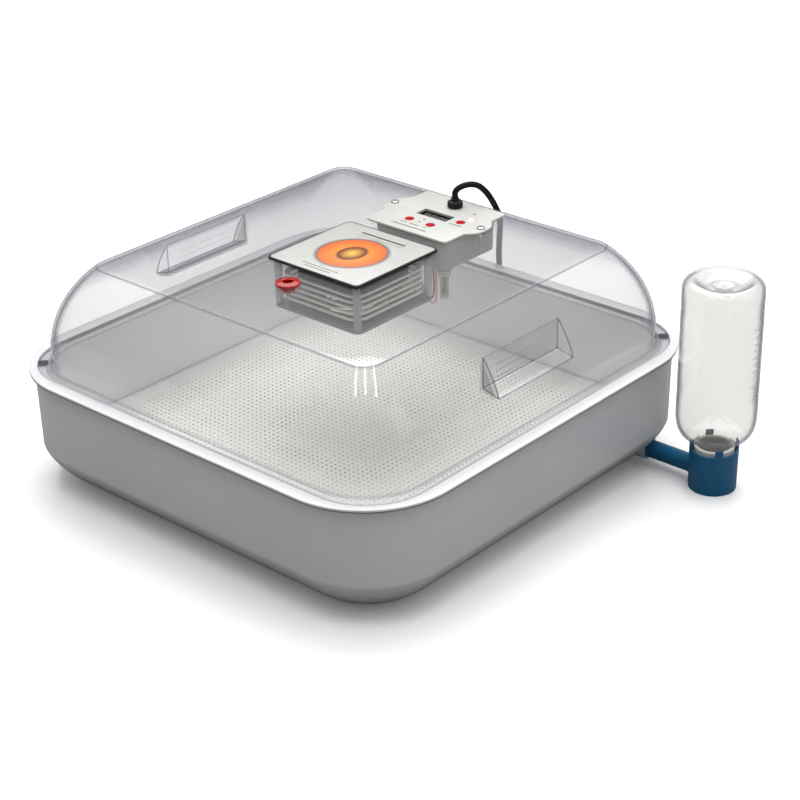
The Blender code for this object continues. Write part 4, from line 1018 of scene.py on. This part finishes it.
def leads():
    colours = (("lead_red", (0.55, 0.1, 0.08)), ("lead_pink", (0.75, 0.4, 0.35)))
    starts = ((30.0, 86.5, 196.2), (34.5, 85.0, 196.2))
    for number, (start, (slot, colour)) in enumerate(zip(starts, colours), 1):
        drop = 170.0 - 3.0 * number
        x, y, z = start
        route = [start, (x + 0.5, y, z - 9), (x + 2, y - 1, drop + 8), (x + 5, y - 6, drop),
                 (x + 6.5, y - 14, drop + 1), (x + 6.0, y - 20, drop + 9), (x + 4.5, y - 23.5, drop + 19),
                 (x + 4, y - 25.5, drop + 27)]
        line = smooth_line([Vector(p) * MM for p in route], 1.2 * MM)
        wire = tube(f"lead_{number}", line, 1.0 * MM, plastic(slot, colour, 0.35, shift=0.06), sides=12)
        place(wire, "lid", slot, f"heater_lead_{number}")


def tray_screws():
    steel = metal("tray_steel", (0.74, 0.75, 0.77), 0.25)
    for number in range(1, 5):
        node = f"tray_screw_{number}"
        low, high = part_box(node)
        corners = [(0.0, high.z), (3.0 * MM, high.z), (3.0 * MM, high.z - 0.7 * MM), (0.0, low.z)]
        piece = turned(f"{node}_head", rounded(corners, 0.8 * MM), (low + high) / 2, steel, steps=32)
        place(piece, "lid", "screw_steel", node)


# ---- controller


def face_outline():
    corner, half, front, back = 4.5 * MM, 53.8 * MM, 77.5 * MM, 176.5 * MM
    ear = [(half, 107.0 * MM), (62.8 * MM, 116.5 * MM), (64.8 * MM, 122.0 * MM), (64.8 * MM, 136.0 * MM),
           (62.8 * MM, 141.5 * MM), (half, 152.0 * MM)]
    ear = rounded(ear, 4.0 * MM, 5)
    points = []
    for index, (side, y, start) in enumerate(((1, front, -90), (1, back, 0), (-1, back, 90),
                                              (-1, front, 180))):
        middle_x = side * (half - corner)
        middle_y = y + corner if y == front else y - corner
        for step in range(9):
            angle = math.radians(start + 90 * step / 8)
            points.append((middle_x + corner * math.cos(angle), middle_y + corner * math.sin(angle)))
        if index == 0:
            points += ear
        if index == 2:
            points += [(-x, y_ear) for x, y_ear in reversed(ear)]
    return points


def inset_outline(points, amount):
    made = []
    for index, point in enumerate(points):
        before, after = Vector(points[index - 1]), Vector(points[(index + 1) % len(points)])
        along = (after - before).normalized()
        made.append((point[0] - along.y * amount, point[1] + along.x * amount))
    return made


def control_plate():
    grey = plastic("face_abs", (0.55, 0.543, 0.515), 0.34, shift=0.02, grain=900.0, strength=0.12)
    outline = face_outline()
    rings = []
    for inset, z in ((0.5, PLATE_LOW), (0.0, PLATE_LOW + 0.5 * MM), (0.0, PLATE_TOP - 0.7 * MM),
                     (0.2, PLATE_TOP - 0.25 * MM), (0.7, PLATE_TOP)):
        rings.append([(x, y, z) for x, y in inset_outline(outline, inset * MM)])
    plate = loft("face_plate", rings, grey)
    middle = (PLATE_LOW + PLATE_TOP) / 2
    left, right, front, back = WINDOW
    tools = [block("window", (right - left, back - front, 9 * MM),
                   ((left + right) / 2, (front + back) / 2, middle))]
    for node, radius in (("button_minus", 5.1), ("button_plus", 5.1), ("button_power", 5.1),
                         ("indicator_lens", 4.3), ("cord_gland", 5.7), ("ear_screw_left", 2.3),
                         ("ear_screw_right", 2.3)):
        tools.append(cylinder("hole", radius * MM, 9 * MM, (*middle_of(node).xy, middle), steps=40))
    tools.append(cylinder("pinhole", 1.6 * MM, 3 * MM, (*PINHOLE, PLATE_TOP), steps=24))
    boolean(plate, tools, "DIFFERENCE")
    place(plate, "lid", "face_grey", "control_plate")
    marks = printed_bars(((-20, -12, 94.3, 1.1), (-8, 4, 94.3, 1.1), (-24, 20, 87.0, 1.5),
                          (24, 40, 119.2, 1.2), (10.4, 14.0, 94.3, 0.6), (11.9, 12.5, 94.3, 3.6)), PLATE_TOP)
    for y in (111.3 * MM, 103.8 * MM):
        marks.append(cylinder("dot", 1.3 * MM, 2 * PRINT_RISE, (-2.2 * MM, y, PLATE_TOP + PRINT_RISE),
                              steps=24))
    # Painted shade: a dark disc at the bottom of the shallow pinhole stands in for the dark of the hole's
    # depth
    marks.append(cylinder("dot", 1.5 * MM, 0.1 * MM, (*PINHOLE, PLATE_TOP - 1.4 * MM), steps=24))
    ink = plastic("face_ink_and_hole_shade", (0.05, 0.05, 0.055), 0.45, shift=0.1)
    place(gather("face_marks", marks, ink), "lid", "face_grey")


def control_box():
    low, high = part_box("control_box")
    centre, size = middle_of("control_box"), size_of("control_box")
    rings = []
    for inset, radius, z in ((2.6, 7.4, low.z), (1.4, 8.6, low.z + 0.35 * MM), (0.8, 9.4, low.z + 1.0 * MM),
                             (0.6, 9.6, low.z + 2.2 * MM), (0.0, 10, high.z), (2, 8, high.z),
                             (2.6, 8, low.z + 2 * MM)):
        rings.append(ring(size.x / 2 - inset * MM, radius * MM, z, centre, size.y / 2 - inset * MM, steps=10))
    box = loft("box_shell", rings,
               plastic("box_abs", (0.46, 0.455, 0.43), 0.36, shift=0.02, grain=900.0, strength=0.1))
    probe = middle_of("sensor_probe")
    boolean(box, [cylinder("hole", 4.2 * MM, 12 * MM, (probe.x, probe.y, low.z), steps=32)], "DIFFERENCE")
    place(box, "lid", "box_grey", "control_box")


def display():
    size, centre = size_of("display_module"), middle_of("display_module")
    glass = plastic("display_glass", (0.01, 0.01, 0.011), 0.1, shift=0.1, strength=0.02, coat=0.5)
    place(block("display_body", size, centre, glass, 0.3 * MM), "lid", "display_black", "display_module")
    tall, wide, stroke, thick = 9.0 * MM, 4.8 * MM, 0.9 * MM, 0.08 * MM
    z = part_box("display_module")[1].z + thick / 2
    segments = []
    for digit in range(4):
        x = centre.x + (digit - 1.5) * 8.4 * MM
        for level in (1, 0, -1):
            segments.append(block("bar", (wide - stroke, stroke, thick), (x, centre.y + level * tall / 2, z)))
        for side in (-1, 1):
            for level in (-1, 1):
                segments.append(block("bar", (stroke, tall / 2 - stroke, thick),
                                      (x + side * wide / 2, centre.y + level * tall / 4, z)))
        segments.append(cylinder("point", 0.6 * MM, thick, (x + wide / 2 + 1.5 * MM, centre.y - tall / 2, z),
                                 steps=16))
    unlit = plastic("segment_unlit", (0.2, 0.2, 0.21), 0.3, shift=0.05)
    place(gather("display_digits", segments, unlit), "lid", "display_black")


def buttons():
    red = plastic("button_red", (0.42, 0.004, 0.004), 0.4, shift=0.06, strength=0.04, specular=0.08)
    for node in ("button_minus", "button_plus", "button_power"):
        low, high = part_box(node)
        corners = [*mm_points(high.z, (0, 0), (4.3, -0.1), (4.8, -0.6)),
                   *mm_points(DOME_TOP, (4.8, -0.2), (5.8, -0.2), (5.8, -1.4), (2, -1.4)),
                   *mm_points(low.z, (2, 0), (0, 0))]
        piece = turned(f"{node}_cap", rounded(corners, 0.5 * MM), middle_of(node), red, steps=48)
        place(piece, node, "button_red", node)
    low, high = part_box("indicator_lens")
    corners = [*mm_points(high.z, (0, 0), (3.4, -0.1), (4.0, -0.8)), *mm_points(low.z, (4.0, 0), (0, 0))]
    lens = plastic("lens_frosted", (0.9, 0.92, 0.95), 0.18, shift=0.01, scatter=0.2)
    piece = turned("indicator_cap", rounded(corners, 0.5 * MM), middle_of("indicator_lens"), lens, steps=40)
    place(piece, "lid", "lens_white", "indicator_lens")


def ear_screws():
    steel = metal("screw_plated", (0.4, 0.41, 0.43), 0.3)
    for node in ("ear_screw_left", "ear_screw_right"):
        low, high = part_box(node)
        at = middle_of(node)
        corners = [*mm_points(high.z, (0, 0), (2.6, -0.25)),
                   *mm_points(PLATE_TOP + GAP, (4.2, 0.8), (4.4, 0), (1.95, 0)),
                   *mm_points(low.z, (1.95, 0), (0, 0))]
        screw = turned(f"{node}_head", rounded(corners, 0.6 * MM), at, steel, steps=48)
        for size in ((4.6 * MM, 0.9 * MM, 2 * MM), (0.9 * MM, 4.6 * MM, 2 * MM)):
            boolean(screw, [block("arm", size, (at.x, at.y, high.z + 0.2 * MM))], "DIFFERENCE")
        place(screw, "lid", "ear_screw_steel", node)


def gland():
    low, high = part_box("cord_gland")
    at, seat = middle_of("cord_gland"), PLATE_TOP + GAP
    corners = [*mm_points(high.z, (3.3, -3), (3.3, 0), (4.0, 0)),
               *mm_points(seat, (4.8, 6.8), (7.3, 6.4), (8.2, 5.2), (8.2, 1.0), (7.7, 0), (5.4, 0)),
               (5.4 * MM, DOME_TOP - 3 * MM), *mm_points(low.z, (5.0, 0), (3.3, 0))]
    black = plastic("gland_nylon", (0.008, 0.008, 0.009), 0.45, shift=0.15, specular=0.25)
    body = turned("gland_body", rounded(corners, 0.5 * MM), at, black, steps=48, loop=True)
    grips = [spun_block("grip", (1.4 * MM, 3.0 * MM, 4.4 * MM), around(at, 8.4 * MM, turn, seat + 4.4 * MM),
                        turn) for turn in range(0, 360, 45)]
    boolean(body, grips, "DIFFERENCE")
    place(body, "lid", "gland_black", "cord_gland")


def sensor():
    low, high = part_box("sensor_guard")
    clear = clear_plastic("guard_clear", (0.88, 0.85, 0.82), 0.2, (0.6, 0.54, 0.48))
    outline = [(4.9 * MM, high.z), *mm_points(low.z, (4.7, 1.0), (4.3, 0.2), (3.4, 0)), (3.8 * MM, high.z)]
    place(turned("guard_tube", outline, middle_of("sensor_guard"), clear, steps=40, loop=True), "lid",
          "guard_clear", "sensor_guard")
    low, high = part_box("sensor_collar")
    corners = [*mm_points(high.z, (0, 0), (3.9, 0)),
               *mm_points(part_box("control_box")[0].z - GAP, (3.9, 0), (7.4, 0)),
               *mm_points(low.z, (7.4, 0.6), (6.6, 0), (0, 0))]
    cream = plastic("collar_abs", (0.6, 0.57, 0.52), 0.38, shift=0.03)
    place(turned("collar_body", rounded(corners, 0.4 * MM), middle_of("sensor_collar"), cream, steps=40),
          "lid", "collar_cream", "sensor_collar")


# ---- cup and bottle


def water_cup():
    cup, pipe_z = middle_of("bottle_cap"), middle_of("pipe_seal").z
    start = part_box("water_cup")[0].x
    bore, outer = 22.3 * MM, 24.8 * MM
    corners = mm_points(0.0, (0, 4), (18.2, 4), (18.2, 24), (22.3, 24), (22.3, 44), (24.8, 44), (24.2, 0),
                        (0, 0))
    blue = plastic("cup_polypropylene", (0.005, 0.125, 0.27), 0.3, shift=0.05, grain=700.0, strength=0.12,
                   scatter=0.04)
    body = turned("cup_body", rounded(corners, 0.8 * MM), cup, blue, steps=96)
    end = cup.x - bore - 0.9 * MM
    middle = (start + end) / 2
    boolean(body, [cylinder("pipe", 9.3 * MM, end - start, (middle, cup.y, pipe_z), axis="X", steps=64)],
            "UNION")
    boolean(body, [cylinder("fillet", 9.3 * MM, 5 * MM, (end - 1.6 * MM, cup.y, pipe_z), axis="X", steps=64,
                            top_radius=10.8 * MM)], "UNION")
    lugs = [spun_block("lug", (2 * MM, 8 * MM, 23.5 * MM), around(cup, (outer + bore) / 2, turn, 39.75 * MM),
                       turn, bevel=0.5 * MM) for turn in range(45, 405, 90)]
    boolean(body, lugs, "UNION")
    boolean(body, [cylinder("inside", 7.0 * MM, end - start + 30 * MM, (middle - 5 * MM, cup.y, pipe_z),
                            axis="X")], "DIFFERENCE")
    place(body, "cup", "cup_blue", "water_cup")


def bottle_side(inset):
    low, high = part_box("bottle")
    top = high.z
    body, neck = (high.x - low.x) / 2 - inset, 16.6 * MM - inset
    nub = 2.6 * MM if not inset else 0.0
    points = [(0.0, top - 9.0 * MM - inset + nub), (2.2 * MM, top - 9.2 * MM - inset + nub),
              (3.6 * MM, top - 9.2 * MM - inset), (10.6 * MM, top - 8.0 * MM - inset),
              (11.8 * MM, top - 6.6 * MM - inset), (13.2 * MM, top - 7.2 * MM - inset),
              (20.0 * MM, top - 5.5 * MM - inset), (26.0 * MM, top - 2.4 * MM - inset)]
    corner = 9.5 * MM
    for step in range(15):
        angle = math.radians(96 - 96 * step / 14)
        points.append((body - corner + corner * math.cos(angle),
                       top - inset - corner + corner * math.sin(angle)))
    for z in (200, 196, 192, 110, 106, 102):
        points.append((body - (0.5 * MM if z in (196, 106) else 0.0), z * MM))
    shoulder_top, shoulder_low = 86.0 * MM, 55.0 * MM
    for step in range(19):
        angle = math.radians(90 * step / 18)
        points.append((neck + 2 * MM + (body - neck - 2 * MM) * math.cos(angle) ** 0.75,
                       shoulder_top - (shoulder_top - shoulder_low - inset) * math.sin(angle) ** 0.8))
    points += [(neck, 53.0 * MM + inset), (neck, low.z)]
    return points


def bottle():
    centre = middle_of("bottle")
    clear = clear_plastic("bottle_pet", (0.94, 0.94, 0.93), 0.08, (0.6, 0.6, 0.58), waves=0.12, edge=0.6)
    outline = bottle_side(0.0) + bottle_side(1.2 * MM)[::-1]
    place(turned("bottle_shell", outline, centre, clear, steps=96, smooth_angle=50.0), "bottle",
          "bottle_clear", "bottle")
    low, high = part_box("bottle_cap")
    outer, inner = size_of("bottle_cap").x / 2, 16.9 * MM
    corners = [(inner, high.z - 2 * MM), (inner, high.z), (outer, high.z), (outer, low.z), (11 * MM, low.z),
               (11 * MM, low.z + 1.8 * MM), (inner, low.z + 1.8 * MM)]
    white = plastic("cap_white", (0.78, 0.77, 0.72), 0.3, shift=0.02)
    cap = turned("cap_ring", rounded(corners, 0.6 * MM), centre, white, steps=72, loop=True)
    place(cap, "bottle", "cap_white", "bottle_cap")
    marks = []
    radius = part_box("bottle")[1].x - centre.x
    for number in range(12):
        width = math.degrees(0.22 if number % 3 == 0 else 0.12)
        line = [Vector(around(centre, radius, -4 + width * step / 6, (110 + 7.5 * number) * MM))
                for step in range(7)]
        marks.append(tube("mark", line, 0.35 * MM, sides=6))
    scale = gather("bottle_scale", marks, plastic("scale_print", (0.55, 0.55, 0.53), 0.3, shift=0.05))
    place(scale, "bottle", "bottle_clear")


# ---- cord and plug


def coil_line():
    """Six turns in two layers: in along the bottom, up at the middle and out along the top."""
    low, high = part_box("cord_coil")
    centre = (low + high) / 2
    step_in = (COIL_TURN_OUTER - COIL_TURN_INNER) / 2
    start, end = math.radians(24), math.radians(90) + 6 * math.tau
    count = 180
    line = []
    for index in range(count + 1):
        angle = start + (end - start) * index / count
        turn = (angle - start) / math.tau
        if turn < 2:
            radius = COIL_TURN_OUTER - step_in * turn
        elif turn < 4:
            radius = COIL_TURN_INNER
        else:
            radius = min(COIL_TURN_OUTER, COIL_TURN_INNER + step_in * (turn - 4))
        climb = min(1.0, max(0.0, (turn - 2.9) / 0.4))
        climb = climb * climb * (3 - 2 * climb)
        z = COIL_LAYERS[0] + (COIL_LAYERS[1] - COIL_LAYERS[0]) * climb
        line.append(Vector((centre.x + radius * math.cos(angle), centre.y + radius * math.sin(angle), z)))
    return line


def power_cord():
    socket, plug_end = middle_of("plug_body"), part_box("plug_body")[1].x
    route = [Vector(point) * MM for point in CORD_ROUTE_MM] + coil_line()
    route += [Vector((plug_end + 12 * MM, socket.y, socket.z - 0.9 * MM)),
              Vector((plug_end - 4 * MM, socket.y, socket.z))]
    line = smooth_line(route, 2.4 * MM)
    sheath = plastic("cord_sheath", (0.006, 0.006, 0.007), 0.5, shift=0.2, grain=900.0, strength=0.2,
                     specular=0.2)
    cord = tube("mains_cord", line, CORD_DIAMETER / 2, sheath)
    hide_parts("power_cord", "cord_coil")
    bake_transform(cord)


def tie():
    centre = middle_of("cord_tie")
    half_x, half_z = 10.2 * MM, 6.65 * MM
    rings = []
    for grow, y in ((0.0, -3.5), (0.0, -1.2), (0.0, 1.2), (0.0, 3.5), (0.9, 3.4), (1.1, 1.2), (1.1, -1.2),
                    (0.9, -3.4)):
        flat = ring(half_x + grow * MM, (3.1 + grow) * MM, 0.0, (centre.x, half_z + 1.2 * MM),
                    half_z + grow * MM - 0.1 * MM, steps=8)
        rings.append([(x, centre.y + y * MM, z) for x, z, _ in flat])
    weave = plastic("tie_weave", (0.028, 0.028, 0.03), 0.6, shift=0.2, grain=2200.0, depth=0.2 * MM,
                    strength=0.6)
    place(loft("tie_strap", rings, weave, closed=True), "base", "tie_black", "cord_tie")


def plug():
    centre, end = middle_of("plug_body"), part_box("plug_body")[1].x
    black = plastic("plug_pvc", (0.014, 0.014, 0.015), 0.42, shift=0.15, strength=0.2)
    sections = [(0.0, 4.0, 4.0, 3.9), (0.6, 4.1, 4.1, 4.0)]
    for rib in range(4):
        start, wide = 2.0 + 3.4 * rib, 4.2 + 0.2 * rib
        sections += [(start, wide, wide, 4.1), (start + 0.4, 3.7, 3.7, 3.6), (start + 1.3, 3.7, 3.7, 3.6),
                     (start + 1.7, wide + 0.1, wide + 0.1, 4.2)]
    sections += [(16.2, 5.0, 5.2, 4.8), (17.2, 6.6, 7.6, 5.0), (19.0, 8.4, 10.0, 5.2), (22.0, 9.5, 11.5, 5.2),
                 (30.0, 9.1, 11.2, 5.2), (38.0, 9.8, 11.8, 5.2), (40.2, 9.5, 11.5, 5.0),
                 (41.0, 8.8, 10.8, 4.4)]
    rings = []
    for along, half_y, half_z, radius in sections:
        flat = ring(half_y * MM, radius * MM, 0.0, (centre.y, centre.z), half_z * MM, steps=10)
        rings.append([(end - along * MM, y, z) for y, z, _ in flat])
    place(loft("plug_shell", rings, black), "base", "plug_black", "plug_body")


def plain_nodes():
    """CAD nodes that keep their own shape and only take a finished material."""
    brass = metal("pin_brass", (0.78, 0.6, 0.3), 0.22)
    nut = metal("nut_plated", (0.76, 0.77, 0.78), 0.22)
    finishes = {
        "plug_blade_1": brass, "plug_blade_2": brass, "ground_pin": brass,
        "ear_nut_left": nut, "ear_nut_right": nut,
        "vent_plug": plastic("vent_red_solid", (0.36, 0.003, 0.003), 0.22, shift=0.08),
        "pipe_seal": plastic("seal_silicone", (0.5, 0.5, 0.51), 0.5, shift=0.1, strength=0.3),
        "heater_bracket": plastic("mica_board", (0.48, 0.4, 0.28), 0.5, shift=0.2, grain=400.0),
        "circuit_board": plastic("solder_mask", (0.02, 0.16, 0.06), 0.35, shift=0.15, coat=0.3),
        "sensor_probe": plastic("probe_dark", (0.09, 0.08, 0.08), 0.3, shift=0.1),
    }
    for node, mat in finishes.items():
        for slot in frame["nodes"][node].material_slots:
            slot.material = mat


camera()
lights()
world()
floor()
tub()
liner()
mesh_floor()
dome()
grommets()
fan_cover()
housing()
louvres()
fan()
heater()
leads()
tray_screws()
control_plate()
control_box()
display()
buttons()
ear_screws()
gland()
sensor()
water_cup()
bottle()
plug()
tie()
power_cord()
plain_nodes()
bpy.context.scene.view_settings.view_transform = "Standard"
